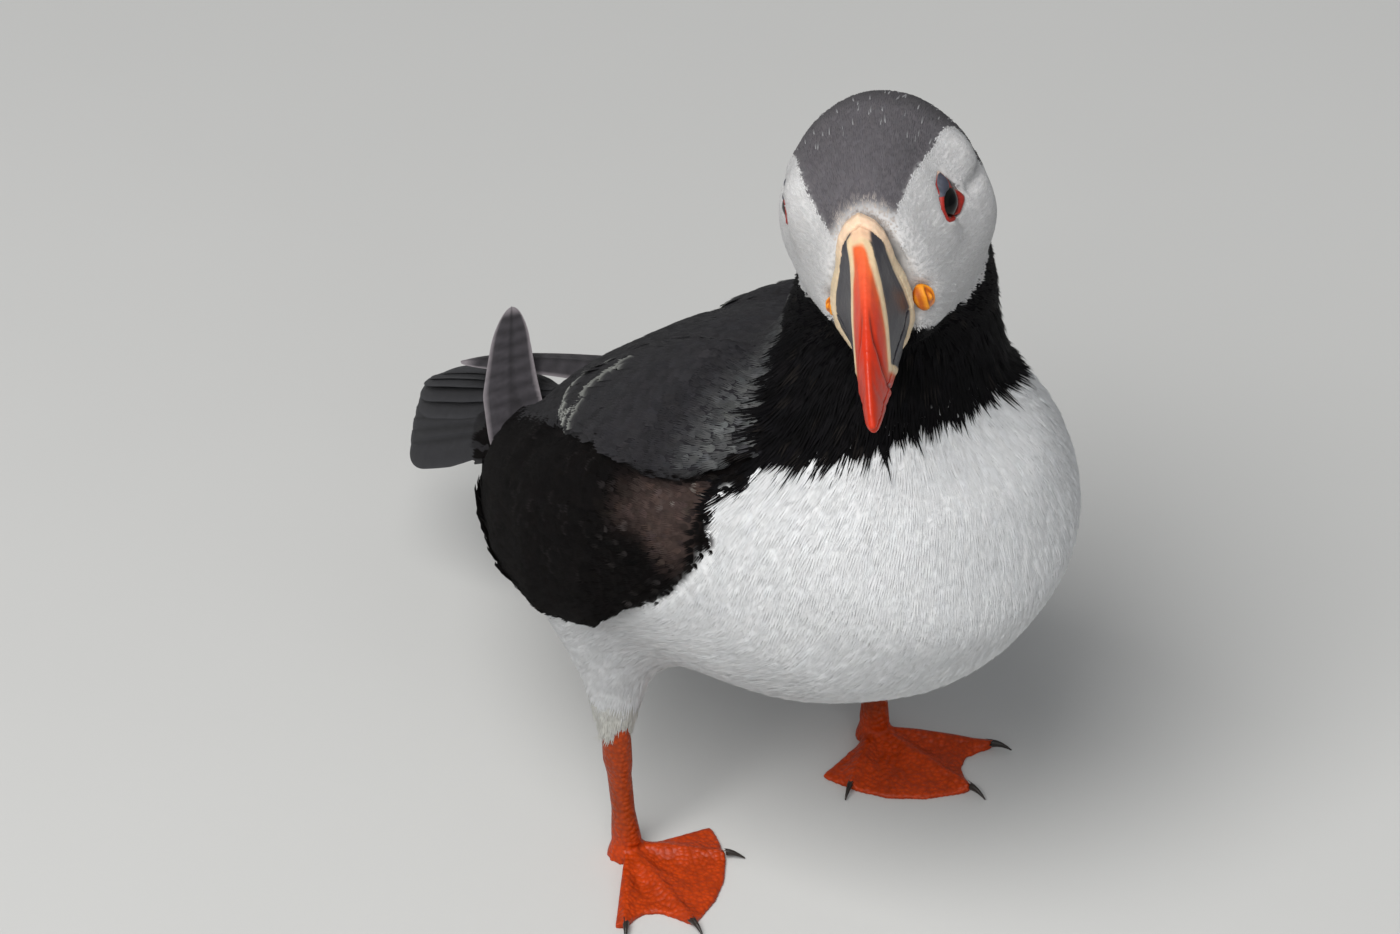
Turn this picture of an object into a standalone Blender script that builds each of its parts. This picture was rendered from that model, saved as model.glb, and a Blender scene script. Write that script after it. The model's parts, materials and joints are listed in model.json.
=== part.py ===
"""Atlantic puffin, a still life-size model standing on both webbed feet.

The bird faces -Y, its left side is +X, and +Z is up.  Sizes are in
millimetres and become metres when a mesh is made.  The flesh is modelled
whole, and thin cuts then part it into head, neck, trunk and thighs.
"""

from math import cos, pi, radians, sin, sqrt

import bmesh
import bpy
from mathutils import Euler, Matrix, Vector

MM = 0.001
CLEARANCE = 0.3            # gap between two pieces that touch
SHELL_LIMIT = 1.6          # how far a cutter's sharp corner may run past that gap
CUTTER_SIZE = 400.0
WELD = 0.001               # corners nearer than this become one
BODY_RING = 28             # points round a ring of the body
LOBE_RING = 14
RIM_RING = 16
LEG_RING = 12
CLAW_RING = 6
SMOOTH_ANGLE = 40.0        # edges flatter than this are shaded round

# Linear base colour and roughness of each kind of surface.
FINISHES = {
    "white": ((0.80, 0.79, 0.76), 0.8),
    "black": ((0.02, 0.02, 0.02), 0.8),
    "dark": ((0.045, 0.04, 0.042), 0.75),
    "bill": ((0.75, 0.16, 0.03), 0.35),
    "rim": ((0.80, 0.66, 0.42), 0.55),
    "eye": ((0.02, 0.015, 0.01), 0.08),
    "rosette": ((0.85, 0.42, 0.03), 0.5),
    "leg": ((0.82, 0.12, 0.02), 0.5),
    "claw": ((0.02, 0.02, 0.02), 0.3),
}

# ---------------------------------------------------------------- flesh
TRUNK_STATIONS = (
    # y, z, half width, rise to the back, drop to the belly, slope in degrees
    (95, 52, 4, 3, 4, 34),
    (82, 57, 12, 6, 10, 34),
    (62, 64, 24, 9, 22, 35),
    (38, 73, 36, 23, 33, 35),
    (10, 84, 45, 34, 43.5, 34),
    (-18, 95, 46.5, 41, 46.5, 36),
    (-38, 107, 46, 40, 46, 44),
    (-52, 121, 39, 29, 40, 56),
    (-58, 137, 24, 17, 22, 68),
)
NECK_STATIONS = (
    # x, y, z, half width, rise to the nape, drop to the throat, slope
    (0, -32, 110, 37, 32, 34, 74),
    (0, -38, 133, 32, 29, 29, 86),
    (2, -42, 150, 24.5, 23, 22, 90),
    (3, -43, 166, 21, 20, 18, 90),
    (3, -43, 182, 16, 16, 14, 90),
)
THIGH_STATIONS = (
    # x, y, z and radius of the right thigh, from the hip to the ankle
    (-29, 13, 72, 19),
    (-31, 10, 58, 14),
    (-33.5, 6, 46, 8.2),
    (-35.2, 4.5, 38, 5.8),
    (-35.8, 3.5, 31, 4.2),
)
LEFT_LEG_SHIFT = -3.6                   # the left leg stands further forward
FLESH_VOXEL = 1.8
FLESH_SMOOTHING = 6
FLESH_TRIANGLES = 2100
HEAD_CUT = (-18.0, -19.0, 16.0)         # forward, up, and slope in degrees
NECK_CUT = (-60.0, 137.0, 4.0)          # y, z, and slope in degrees
THIGH_CUT = 45.0                        # height where a thigh leaves the belly

# ---------------------------------------------------------------- head
HEAD_PLACE = (-19.7, -62.0, 177.7)      # middle of the bill's base
HEAD_TURN = -42.8                       # towards the bird's right
HEAD_LIFT = -2.5
HEAD_ROLL = -8.5
HEAD_SWAY = -0.038                      # the skull bends to the left behind the bill
HEAD_STATIONS = (
    # forward of the bill's base, half width, top, bottom, widest height
    (-47, 5, 15, 1, 8),
    (-44, 14, 23, -7, 6),
    (-37, 20.8, 28.4, -12, 3),
    (-28, 23.1, 30, -16, 1),
    (-17, 18.6, 29, -18, -1),
    (-9, 15, 26, -17.5, -1),
    (-3, 12.2, 23.5, -16, 0),
    (1, 8, 18, -12, 2),
)
HEAD_SQUARENESS = (1.95, 2.1)           # of its rings, above and below the widest height
EYE_RADIUS = 4.6
EYE_PLACES = {
    # side, forward and up from the bill's base
    "right": (-13.2, -19.6, 12.2),
    "left": (12.8, -17.4, 12.0),
}

# ---------------------------------------------------------------- bill
BILL_LENGTH = 41.5
CULMEN_BASE = 21.5
GONYS_BASE = -14.0
TIP_HEIGHT = -5.0
BILL_RIDGE = 1.7
BILL_WIDTHS = ((0, 8.2), (3, 7.5), (10, 6.0), (18, 4.4), (30, 2.8), (38, 1.6), (41.5, 0.6))
BILL_START = 2.9
BILL_STEPS = 11
BILL_CLOSENESS = 1.4        # above 1 the rings crowd towards the tip
BILL_SECTION_POINTS = 10
BILL_HOLLOW = 1.35          # above 1 the sides fall in towards the ridge
BILL_SHOULDER = 1.25
CULMEN_ROUNDNESS = 0.5      # share of the ridge's fall that follows an arc
GONYS_ROUNDNESS = 0.45
UPPER_SHORTFALL = 0.4       # how far each half stops before the point
LOWER_SHORTFALL = 2.2
GAPE_GAP = 0.3
GAPE_FALL = 0.8
RIM_STATIONS = ((-2.0, -0.6), (-0.8, 0.6), (1.0, 1.0), (2.6, 0.1))     # forward, swell
RIM_SQUARENESS = (1.5, 1.7)
ROSETTE_PLACES = {"right": (-9.2, -1.0, -0.6), "left": (9.2, -1.0, -0.6)}
ROSETTE_SIZE = (2.2, 2.6, 3.4)

# ---------------------------------------------------------------- legs
ANKLE = (-35.8, 3.5, 30.5)
HEEL = (-34.2, 2.0, 4.6)
TARSUS_RADIUS = 2.8
TARSUS_PROFILE = ((0.0, 1.0), (0.04, 1.45), (0.14, 1.25), (0.3, 1.0), (0.7, 0.95), (0.9, 1.15),
                  (1.0, 1.25))          # share of the way down, share of the radius
TARSUS_WIDTH = 0.85                     # share of the radius across the bird
TARSUS_DEPTH = 1.1
HUB_RADII = (4.4, 3.0)                  # of the joint under the tarsus, below and above
FOOT_THICKNESS = 3.0
WEB_THICKNESS = 1.0
WEB_HOLLOWS = {"outer": 0.22, "inner": 0.03}    # how far a web's edge dips between two toes
TOE_WIDTH = 2.2
TOE_TAPER = 0.35
TOE_FULLNESS = (1.15, 1.1)              # of its half width and height at the heel
TOE_MARGIN = 5.0                        # degrees either side of a toe that get a row of corners
FOOT_SHARES = (0.12, 0.35, 0.6, 0.82, 1.0)
TOE_NAMES = ("outer", "middle", "inner")
TOES = {
    # heading in degrees from -Y towards +X, and length without the claw
    "right": ((-40.0, 26.0), (-10.0, 29.0), (45.0, 21.5)),
    "left": ((39.0, 26.5), (6.0, 29.0), (-56.0, 20.0)),
}
FLANGES = {"right": (74.0, 20.0), "left": (-78.0, 19.0)}   # skin edge inside the inner toe
CLAW_LENGTH = 6.0
CLAW_RADIUS = 1.3
CLAW_TAPER = 0.8
CLAW_SINK = 1.5                         # how much of a claw is let into its toe
CLAW_STEPS = 5
CLAW_ARCH = (1.35, 0.9, 0.95)           # height at the root, rise in the middle, fall to the point

# ---------------------------------------------------------------- wings
WING_STATIONS = (
    # x, y, z, half height, half thickness, lean of the top towards the back
    (-42, -35, 117.5, 7, 3, 12),
    (-44, -27, 113, 12, 5.5, 12),
    (-45, -13, 105, 18, 6.5, 12),
    (-44, 2, 93.5, 22, 7, 14),
    (-41, 19, 85, 21.5, 6.5, 18),
    (-34, 37, 79, 18, 5.5, 26),
    (-26, 51, 75, 14, 4.5, 36),
    (-19, 61, 72.5, 10, 3.2, 44),
    (-14, 68, 71.5, 5, 2, 48),
)
SCAPULAR_STATIONS = (
    (-24, -40, 137, 5, 3, 50),
    (-27, -33, 135, 13, 5.5, 52),
    (-29, -18, 130, 18, 6.5, 52),
    (-29, -1, 121, 19, 6.5, 52),
    (-26, 15, 112, 16, 5.5, 52),
    (-24, 26, 105, 11, 4, 50),
    (-22, 34, 101, 4, 2, 50),
)
WING_TIPS = {
    # base, tip, half width, and roll of the blade about its length
    "right": ((-17.0, 60.0, 71.5), (5.0, 88.0, 80.5), 6.5, -20.0),
    "left": ((18.0, 59.0, 73.0), (-10.0, 88.0, 72.0), 6.5, 10.0),
}
LOBE_SQUARENESS = 1.6                   # below 2 a lobe's ring is a lens
BLADE_ARCH = 1.6
BLADE_POINT = 0.06                      # share of the width left at the very tip
BLADE_ROUNDNESS = 2.4
BLADE_THICKNESS = (1.8, 0.6)            # in the middle, and the loss towards each edge
TAIL_BASE = (0.0, 76.0, 71.0)
TAIL_TIP = (0.0, 111.5, 50.0)
TAIL_HALF_WIDTH = 23.0
TAIL_ROOT_WIDTH = 0.68                  # share of the width at the root
TAIL_DROOP = 52.0
TAIL_ROUNDNESS = 0.16                   # how much shorter the outermost feathers are
TAIL_FOLD = 3.0                         # radius of the fold along the middle
TAIL_THICKNESS = (2.6, 1.0)

HEAD_FRAME = Matrix.Translation(Vector(HEAD_PLACE)) @ Euler(
    (radians(HEAD_LIFT), radians(HEAD_ROLL), radians(HEAD_TURN)), "XYZ").to_matrix().to_4x4()


def remove_everything():
    for item in list(bpy.data.objects):
        bpy.data.objects.remove(item, do_unlink=True)


def in_head(side, forward, up):
    """A place given from the middle of the bill's base."""
    return HEAD_FRAME @ Vector((side, -forward, up))


def head_direction(side, forward, up):
    return (HEAD_FRAME.to_3x3() @ Vector((side, -forward, up))).normalized()


def mirrored(point):
    return Vector((-point[0], point[1], point[2]))


def blend(pairs, place):
    """Straight-line reading of a list of (place, value) pairs."""
    for (a, value_a), (b, value_b) in zip(pairs, pairs[1:]):
        if place <= b:
            return value_a + (value_b - value_a) * max(0.0, (place - a) / (b - a))
    return pairs[-1][1]


def signed_power(value, power):
    return abs(value) ** power * (1 if value >= 0 else -1)


def oval(centre, side, up, half_width, rise, drop, squareness=(2.0, 2.0), count=BODY_RING):
    """A closed ring with its own height above and below the centre."""
    top_power, low_power = squareness
    points = []
    for index in range(count):
        angle = 2 * pi * index / count
        power = 2.0 / (top_power if sin(angle) >= 0 else low_power)
        height = rise if sin(angle) >= 0 else drop
        points.append(Vector(centre)
                      + side * half_width * signed_power(cos(angle), power)
                      + up * height * signed_power(sin(angle), power))
    return points


def loft(rings, into=None):
    """Skin a run of rings of equal count, closed by a fan at each end."""
    mesh = into or bmesh.new()
    rows = [[mesh.verts.new(point) for point in ring] for ring in rings]
    count = len(rings[0])
    for row, following in zip(rows, rows[1:]):
        for index in range(count):
            after = (index + 1) % count
            mesh.faces.new((row[index], row[after], following[after], following[index]))
    for row in (rows[0], rows[-1]):
        middle = mesh.verts.new(sum((vert.co for vert in row), Vector()) / count)
        for index in range(count):
            mesh.faces.new((row[index], row[(index + 1) % count], middle))
    bmesh.ops.recalc_face_normals(mesh, faces=mesh.faces)
    return mesh


def border(grid):
    """The outer corners of a grid, in order round it."""
    left = [line[0] for line in grid]
    right = [line[-1] for line in grid]
    return grid[0][:-1] + right[:-1] + grid[-1][:0:-1] + left[:0:-1]


def close_sheets(grids):
    """Faces over two grids of corners, and a wall between their edges."""
    mesh = bmesh.new()
    grids = [[[mesh.verts.new(place) for place in line] for line in grid] for grid in grids]
    for grid in grids:
        for line, following in zip(grid, grid[1:]):
            for index in range(len(line) - 1):
                mesh.faces.new((line[index], line[index + 1],
                                following[index + 1], following[index]))
    first, second = (border(grid) for grid in grids)
    for index in range(len(first)):
        after = (index + 1) % len(first)
        mesh.faces.new((first[index], first[after], second[after], second[index]))
    bmesh.ops.recalc_face_normals(mesh, faces=mesh.faces)
    return mesh


def slab(surface, thickness, columns, rows):
    """A closed sheet about a middle surface read at u in -1..1 and v in 0..1."""
    step = 0.01
    middle_thickness, edge_loss = thickness
    grids = ([], [])
    for row in range(rows + 1):
        v = row / rows
        for grid in grids:
            grid.append([])
        for column in range(columns + 1):
            u = 2 * column / columns - 1
            across = surface(u + step, v) - surface(u - step, v)
            along = surface(u, v + step) - surface(u, v - step)
            offset = across.cross(along).normalized() * (middle_thickness - edge_loss * abs(u)) / 2
            grids[0][-1].append(surface(u, v) + offset)
            grids[1][-1].append(surface(u, v) - offset)
    return close_sheets(grids)


def ball(centre, frame, size, segments, rings):
    mesh = bmesh.new()
    place = Matrix.Translation(Vector(centre)) @ frame.to_4x4() @ Matrix.Diagonal((*size, 1))
    bmesh.ops.create_uvsphere(mesh, u_segments=segments, v_segments=rings, radius=1, matrix=place)
    bmesh.ops.recalc_face_normals(mesh, faces=mesh.faces)
    return mesh


def finish(name, mesh, look, sharp=SMOOTH_ANGLE):
    """Turn a bmesh in millimetres into a named object with its own material."""
    bmesh.ops.scale(mesh, vec=(MM, MM, MM), verts=mesh.verts)
    bmesh.ops.triangulate(mesh, faces=mesh.faces)
    data = bpy.data.meshes.new(name)
    mesh.to_mesh(data)
    mesh.free()
    item = bpy.data.objects.new(name, data)
    bpy.context.collection.objects.link(item)
    shade(item, sharp)
    paint(item, look)
    return item


def shade(item, sharp=SMOOTH_ANGLE):
    item.data.shade_smooth()
    item.data.set_sharp_from_angle(angle=radians(sharp))


def paint(item, look):
    colour, roughness = FINISHES[look]
    material = bpy.data.materials.new(item.name)
    material.use_nodes = True
    shader = material.node_tree.nodes["Principled BSDF"]
    shader.inputs["Base Color"].default_value = (*colour, 1)
    shader.inputs["Roughness"].default_value = roughness
    item.data.materials.clear()
    item.data.materials.append(material)


def helper(item):
    item.hide_render = True
    item.display_type = "WIRE"
    return item


def bake_modifiers(item):
    """Replace the mesh of an object by what its modifiers make of it."""
    bpy.context.view_layer.update()
    graph = bpy.context.evaluated_depsgraph_get()
    result = bpy.data.meshes.new_from_object(item.evaluated_get(graph))
    item.modifiers.clear()
    item.data = result
    mesh = bmesh.new()
    mesh.from_mesh(result)
    bmesh.ops.remove_doubles(mesh, verts=mesh.verts, dist=WELD * MM)
    bmesh.ops.dissolve_degenerate(mesh, edges=mesh.edges, dist=WELD * MM)
    mesh.to_mesh(result)
    mesh.free()


def grown(item):
    """A hidden copy of a piece, a little larger all round, used as a cutter."""
    mesh = bmesh.new()
    mesh.from_mesh(item.data)
    mesh.normal_update()
    moves = [(vert, vert.normal * CLEARANCE * MM * min(vert.calc_shell_factor(), SHELL_LIMIT))
             for vert in mesh.verts]
    for vert, move in moves:
        vert.co += move
    data = bpy.data.meshes.new(item.name + "_cutter")
    mesh.to_mesh(data)
    mesh.free()
    copy = bpy.data.objects.new(item.name + "_cutter", data)
    bpy.context.collection.objects.link(copy)
    return helper(copy)


def combine(item, tool, operation="DIFFERENCE"):
    modifier = item.modifiers.new("Boolean", "BOOLEAN")
    modifier.operation = operation
    modifier.solver = "EXACT"
    modifier.object = tool
    bake_modifiers(item)


def cut_clear(item, *others):
    """Cut an object clear of others, leaving the usual gap."""
    for other in others:
        tool = grown(other)
        combine(item, tool)
        bpy.data.objects.remove(tool, do_unlink=True)


def keep_side(item, name, point, normal, above=True):
    """A copy of an object with only what lies on one side of a plane."""
    copy = bpy.data.objects.new(name, item.data.copy())
    bpy.context.collection.objects.link(copy)
    away = Vector(normal) * (-1 if above else 1)
    centre = Vector(point) + away * (CUTTER_SIZE - CLEARANCE) / 2
    turn = away.to_track_quat("Z", "Y").to_matrix().to_4x4()
    mesh = bmesh.new()
    bmesh.ops.create_cube(mesh, size=CUTTER_SIZE, matrix=Matrix.Translation(centre) @ turn)
    tool = helper(finish("cutter", mesh, "dark"))
    combine(copy, tool)
    bpy.data.objects.remove(tool, do_unlink=True)
    return copy


# ------------------------------------------------------------------ flesh
def sloped_ring(x, y, z, half_width, rise, drop, slope):
    """A ring square to a spine that climbs forward at the given slope."""
    up = Vector((0, sin(radians(slope)), cos(radians(slope))))
    return oval((x, y, z), Vector((1, 0, 0)), up, half_width, rise, drop)


def thigh_rings(side):
    rings = []
    for x, y, z, radius in THIGH_STATIONS:
        shift = 0 if side < 0 else LEFT_LEG_SHIFT
        centre = (-x * side, y + shift, z)
        rings.append(oval(centre, Vector((1, 0, 0)), Vector((0, 1, 0)), radius, radius, radius))
    return rings


def head_rings():
    rings = []
    for forward, half_width, top, bottom, widest in HEAD_STATIONS:
        rings.append(oval(in_head(HEAD_SWAY * forward, forward, widest), head_direction(1, 0, 0),
                          head_direction(0, 0, 1), half_width, top - widest, widest - bottom,
                          HEAD_SQUARENESS))
    return rings


def whole_flesh():
    mesh = loft([sloped_ring(0, *station) for station in TRUNK_STATIONS])
    loft([sloped_ring(*station) for station in NECK_STATIONS], mesh)
    loft(head_rings(), mesh)
    for side in (-1, 1):
        loft(thigh_rings(side), mesh)
    flesh = finish("flesh", mesh, "white")
    remesh = flesh.modifiers.new("Remesh", "REMESH")
    remesh.mode = "VOXEL"
    remesh.voxel_size = FLESH_VOXEL * MM
    smooth = flesh.modifiers.new("Smooth", "SMOOTH")
    smooth.iterations = FLESH_SMOOTHING
    bake_modifiers(flesh)
    decimate = flesh.modifiers.new("Decimate", "DECIMATE")
    decimate.ratio = FLESH_TRIANGLES / (2 * len(flesh.data.polygons))
    bake_modifiers(flesh)
    return flesh


def part_flesh(flesh):
    """Thin cuts that make the head, the neck, the trunk and the two thighs."""
    forward, up, slope = HEAD_CUT
    head_point = in_head(0, forward, up)
    head_normal = head_direction(0, -sin(radians(slope)), cos(radians(slope)))
    y, z, slope = NECK_CUT
    neck_point = Vector((0, y, z))
    neck_normal = Vector((0, sin(radians(slope)), cos(radians(slope))))
    head = keep_side(flesh, "head", head_point, head_normal)
    below = keep_side(flesh, "below", head_point, head_normal, above=False)
    neck = keep_side(below, "neck", neck_point, neck_normal)
    rest = keep_side(below, "rest", neck_point, neck_normal, above=False)
    belly = Vector((0, 0, THIGH_CUT))
    trunk = keep_side(rest, "trunk", belly, Vector((0, 0, 1)))
    legs = keep_side(rest, "legs", belly, Vector((0, 0, 1)), above=False)
    middle = Vector((0, 0, 0))
    thighs = [keep_side(legs, "thigh_right", middle, Vector((1, 0, 0)), above=False),
              keep_side(legs, "thigh_left", middle, Vector((1, 0, 0)))]
    for scrap in (flesh, below, rest, legs):
        bpy.data.objects.remove(scrap, do_unlink=True)
    paint(neck, "black")
    for piece in (head, trunk, *thighs):
        paint(piece, "white")
    return head, neck, trunk, thighs


# ------------------------------------------------------------------ wings
def lens_rings(stations, side):
    """Rings of a lens-shaped lobe that lies along the body on one side."""
    centres = [Vector(station[:3]) for station in stations]
    rings = []
    for index, (_, _, _, half_height, half_thickness, lean) in enumerate(stations):
        before = centres[max(index - 1, 0)]
        after = centres[min(index + 1, len(centres) - 1)]
        axis = (after - before).normalized()
        up = Vector((sin(radians(lean)), 0, cos(radians(lean))))
        up = (up - axis * up.dot(axis)).normalized()
        out = axis.cross(up)
        ring = oval(centres[index], out, up, half_thickness, half_height, half_height,
                    (LOBE_SQUARENESS, LOBE_SQUARENESS), LOBE_RING)
        rings.append([mirrored(point) for point in ring] if side > 0 else ring)
    return rings


def lobe(name, stations, side):
    return finish(name, loft(lens_rings(stations, side)), "dark")


def wing_tip(side_name):
    """The folded primaries: one thin blade that narrows to a round tip."""
    base, tip, half_width, roll = WING_TIPS[side_name]
    base = Vector(base)
    axis = (Vector(tip) - base)
    across = axis.cross(Vector((0, 0, 1))).normalized()
    across = Matrix.Rotation(radians(roll), 3, axis.normalized()) @ across
    lift = across.cross(axis).normalized()

    def surface(u, v):
        rounding = sqrt(max(1 - max(v, 0.0) ** BLADE_ROUNDNESS, 0.0))
        reach = half_width * (BLADE_POINT + (1 - BLADE_POINT) * rounding)
        return base + axis * v + across * u * reach + lift * BLADE_ARCH * (1 - u * u)

    return finish("wing_tip_" + side_name, slab(surface, BLADE_THICKNESS, 4, 8), "dark")


def tail():
    """A short fan, folded like a roof, with a round end."""
    base = Vector(TAIL_BASE)
    axis = Vector(TAIL_TIP) - base
    droop = radians(TAIL_DROOP)

    def surface(u, v):
        reach = 1 - TAIL_ROUNDNESS * u * u
        spread = sin(pi * 0.7 * min(max(v, 0.0), 1.0))
        side = u * TAIL_HALF_WIDTH * (TAIL_ROOT_WIDTH + (1 - TAIL_ROOT_WIDTH) * spread)
        fall = (sqrt(side * side + TAIL_FOLD * TAIL_FOLD) - TAIL_FOLD) * sin(droop)
        return base + axis * v * reach + Vector((side * cos(droop), 0, -fall))

    return finish("tail", slab(surface, TAIL_THICKNESS, 8, 6), "dark")


# ------------------------------------------------------------------- head
def falling_arc(share, base, roundness):
    """Height that falls from the base to the tip, partly along an arc."""
    share = min(share, 1.0)
    arc = sqrt(1 - share * share)
    return TIP_HEIGHT + (base - TIP_HEIGHT) * (roundness * arc + (1 - roundness) * (1 - share))


def bill_section(forward, low, high):
    """Half-oval points from one side to the other, above or below the gape."""
    half_width = blend(BILL_WIDTHS, forward)
    ridge = min(BILL_RIDGE, half_width * 0.8)
    points = []
    for index in range(BILL_SECTION_POINTS + 1):
        angle = pi * index / BILL_SECTION_POINTS
        side = cos(angle)
        spread = signed_power(side, BILL_HOLLOW) * (half_width - ridge) + side * ridge
        points.append(in_head(spread, forward, low + (high - low) * sin(angle) ** BILL_SHOULDER))
    return points


def bill_half(name, upper):
    end = BILL_LENGTH - (UPPER_SHORTFALL if upper else LOWER_SHORTFALL)
    rings = []
    for index in range(BILL_STEPS + 1):
        share = 1 - (1 - index / BILL_STEPS) ** BILL_CLOSENESS
        forward = BILL_START + (end - BILL_START) * share
        reach = forward / BILL_LENGTH
        gape = TIP_HEIGHT * GAPE_FALL * reach ** 1.6
        if upper:
            edge = falling_arc(reach, CULMEN_BASE, CULMEN_ROUNDNESS)
            rings.append(bill_section(forward, gape + GAPE_GAP / 2, edge))
        else:
            edge = falling_arc(reach * 1.04, GONYS_BASE, GONYS_ROUNDNESS)
            rings.append(bill_section(forward, gape - GAPE_GAP / 2, edge))
    return finish(name, loft(rings), "bill")


def bill_rim():
    """The fleshy rim that frames the base of the bill."""
    base_width = blend(BILL_WIDTHS, 1.0)
    rings = [oval(in_head(0, forward, 0), head_direction(1, 0, 0), head_direction(0, 0, 1),
                  base_width + swell, CULMEN_BASE - 0.6 + swell, -GONYS_BASE + swell,
                  RIM_SQUARENESS, RIM_RING) for forward, swell in RIM_STATIONS]
    return finish("bill_rim", loft(rings), "rim")


def eyes():
    turned = HEAD_FRAME.to_3x3() @ Matrix.Rotation(pi / 2, 3, "Y")
    size = (EYE_RADIUS, EYE_RADIUS, EYE_RADIUS)
    return [finish("eye_" + name, ball(in_head(*place), turned, size, 12, 8), "eye", 80)
            for name, place in EYE_PLACES.items()]


def rosettes():
    frame = HEAD_FRAME.to_3x3()
    return [finish("rosette_" + name, ball(in_head(*place), frame, ROSETTE_SIZE, 8, 6), "rosette", 80)
            for name, place in ROSETTE_PLACES.items()]


# ------------------------------------------------------------------- legs
def leg_point(point, side_name):
    """A place on the right leg, or its twin on the left."""
    if side_name == "right":
        return Vector(point)
    return mirrored(point) + Vector((0, LEFT_LEG_SHIFT, 0))


def tarsus(side_name):
    top = leg_point(ANKLE, side_name)
    low = leg_point(HEEL, side_name)
    rings = []
    for share, scale in TARSUS_PROFILE:
        radius = TARSUS_RADIUS * scale
        depth = radius * TARSUS_DEPTH
        rings.append(oval(top.lerp(low, share), Vector((1, 0, 0)), Vector((0, 1, 0)),
                          radius * TARSUS_WIDTH, depth, depth, count=LEG_RING))
    return finish("tarsus_" + side_name, loft(rings), "leg")


def toe_reach(angle, toes, flange):
    """How far the foot reaches at a heading, with hollow edges between toes."""
    inner, length = toes[-1]
    share = (angle - inner) / (flange[0] - inner)
    if share > 0:
        return length + (flange[1] - length) * share ** 0.5
    for (first, long_a), (second, long_b), web in zip(toes, toes[1:], ("outer", "inner")):
        share = (angle - first) / (second - first)
        if 0 <= share <= 1:
            hollow = WEB_HOLLOWS[web] * sin(pi * share) ** 0.8
            return (long_a + (long_b - long_a) * share) * (1 - hollow)
    return toes[0][1]


def foot_height(angle, radius, toes):
    """Toes stand as round ridges over a thin web."""
    wide, high = TOE_FULLNESS
    height = WEB_THICKNESS
    for heading, length in toes:
        across = abs(radius * sin(radians(angle - heading)))
        half_width = TOE_WIDTH * (wide - TOE_TAPER * radius / length)
        if across < half_width:
            ridge = FOOT_THICKNESS * (high - TOE_TAPER * radius / length)
            height = max(height, ridge * sqrt(1 - (across / half_width) ** 2))
    return height


def foot_headings(toes, flange):
    """Closer headings over each toe, wider ones over the webs."""
    ordered = sorted(heading for heading, length in toes)
    headings = [heading + extra for heading in ordered for extra in (-TOE_MARGIN, 0, TOE_MARGIN)]
    for first, second in zip(ordered, ordered[1:]):
        headings += [first + (second - first) * share for share in (0.35, 0.65)]
    inner = toes[-1][0]
    headings += [inner + (flange[0] - inner) * share for share in (0.5, 0.8, 1.0)]
    return sorted(headings)


def foot_grid(side_name, flat):
    """Corners of the sole, or of the toes and webs above it."""
    toes = TOES[side_name]
    flange = FLANGES[side_name]
    heel = leg_point(HEEL, side_name)
    grid = []
    for angle in foot_headings(toes, flange):
        reach = toe_reach(angle, toes, flange)
        line = []
        for share in FOOT_SHARES:
            radius = reach * share
            height = 0 if flat else foot_height(angle, radius, toes)
            line.append(Vector((heel.x + sin(radians(angle)) * radius,
                                heel.y - cos(radians(angle)) * radius, height)))
        grid.append(line)
    return grid


def foot(side_name):
    """Three toes joined by webs, flat below, with a hub for the tarsus."""
    grids = [foot_grid(side_name, flat) for flat in (False, True)]
    item = finish("foot_" + side_name, close_sheets(grids), "leg")
    heel = leg_point(HEEL, side_name)
    hub = bmesh.new()
    bmesh.ops.create_cone(hub, cap_ends=True, segments=LEG_RING, radius1=HUB_RADII[0],
                          radius2=HUB_RADII[1], depth=heel.z,
                          matrix=Matrix.Translation((heel.x, heel.y, heel.z / 2)))
    hub_item = helper(finish("foot_hub", hub, "leg"))
    combine(item, hub_item, "UNION")
    bpy.data.objects.remove(hub_item, do_unlink=True)
    return item


def claw(name, heel, heading, toe_length):
    """A hooked cone that arches up from the toe and comes down to its point."""
    direction = Vector((sin(radians(heading)), -cos(radians(heading)), 0))
    upward = Vector((0, 0, 1))
    root, rise, fall = CLAW_ARCH
    rings = []
    for index in range(CLAW_STEPS + 1):
        share = index / CLAW_STEPS
        radius = CLAW_RADIUS * (1 - CLAW_TAPER * share)
        centre = heel + direction * (toe_length - CLAW_SINK + CLAW_LENGTH * share)
        centre.z = max(root + rise * sin(pi * share) - fall * share, radius)
        rings.append(oval(centre, upward.cross(direction), upward, radius * CLAW_TAPER,
                          radius, radius, count=CLAW_RING))
    return finish(name, loft(rings), "claw")


def claws(side_name):
    heel = leg_point(HEEL, side_name)
    return [claw("claw_" + toe_name + "_" + side_name, heel, heading, length)
            for toe_name, (heading, length) in zip(TOE_NAMES, TOES[side_name])]


def stand_on_origin():
    """Bring the middle of the whole bird's footprint box to the origin."""
    pieces = [item for item in bpy.data.objects if not item.hide_render]
    corners = [vert.co for item in pieces for vert in item.data.vertices]
    middle = [(min(c[axis] for c in corners) + max(c[axis] for c in corners)) / 2 for axis in (0, 1)]
    shift = Matrix.Translation((-middle[0], -middle[1], -min(c[2] for c in corners)))
    for item in pieces:
        item.data.transform(shift)


def feather_lobes(side_name, side, trunk, neck, body_cutter):
    """A scapular lobe and a folded wing with its long tip, let into the flesh."""
    scapular = lobe("scapulars_" + side_name, SCAPULAR_STATIONS, side)
    wing = lobe("wing_" + side_name, WING_STATIONS, side)
    cut_clear(trunk, scapular, wing)
    cut_clear(neck, scapular)
    blade = wing_tip(side_name)
    combine(blade, body_cutter)
    combine(wing, blade, "UNION")
    bpy.data.objects.remove(blade, do_unlink=True)
    cut_clear(wing, scapular)
    shade(wing)


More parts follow.
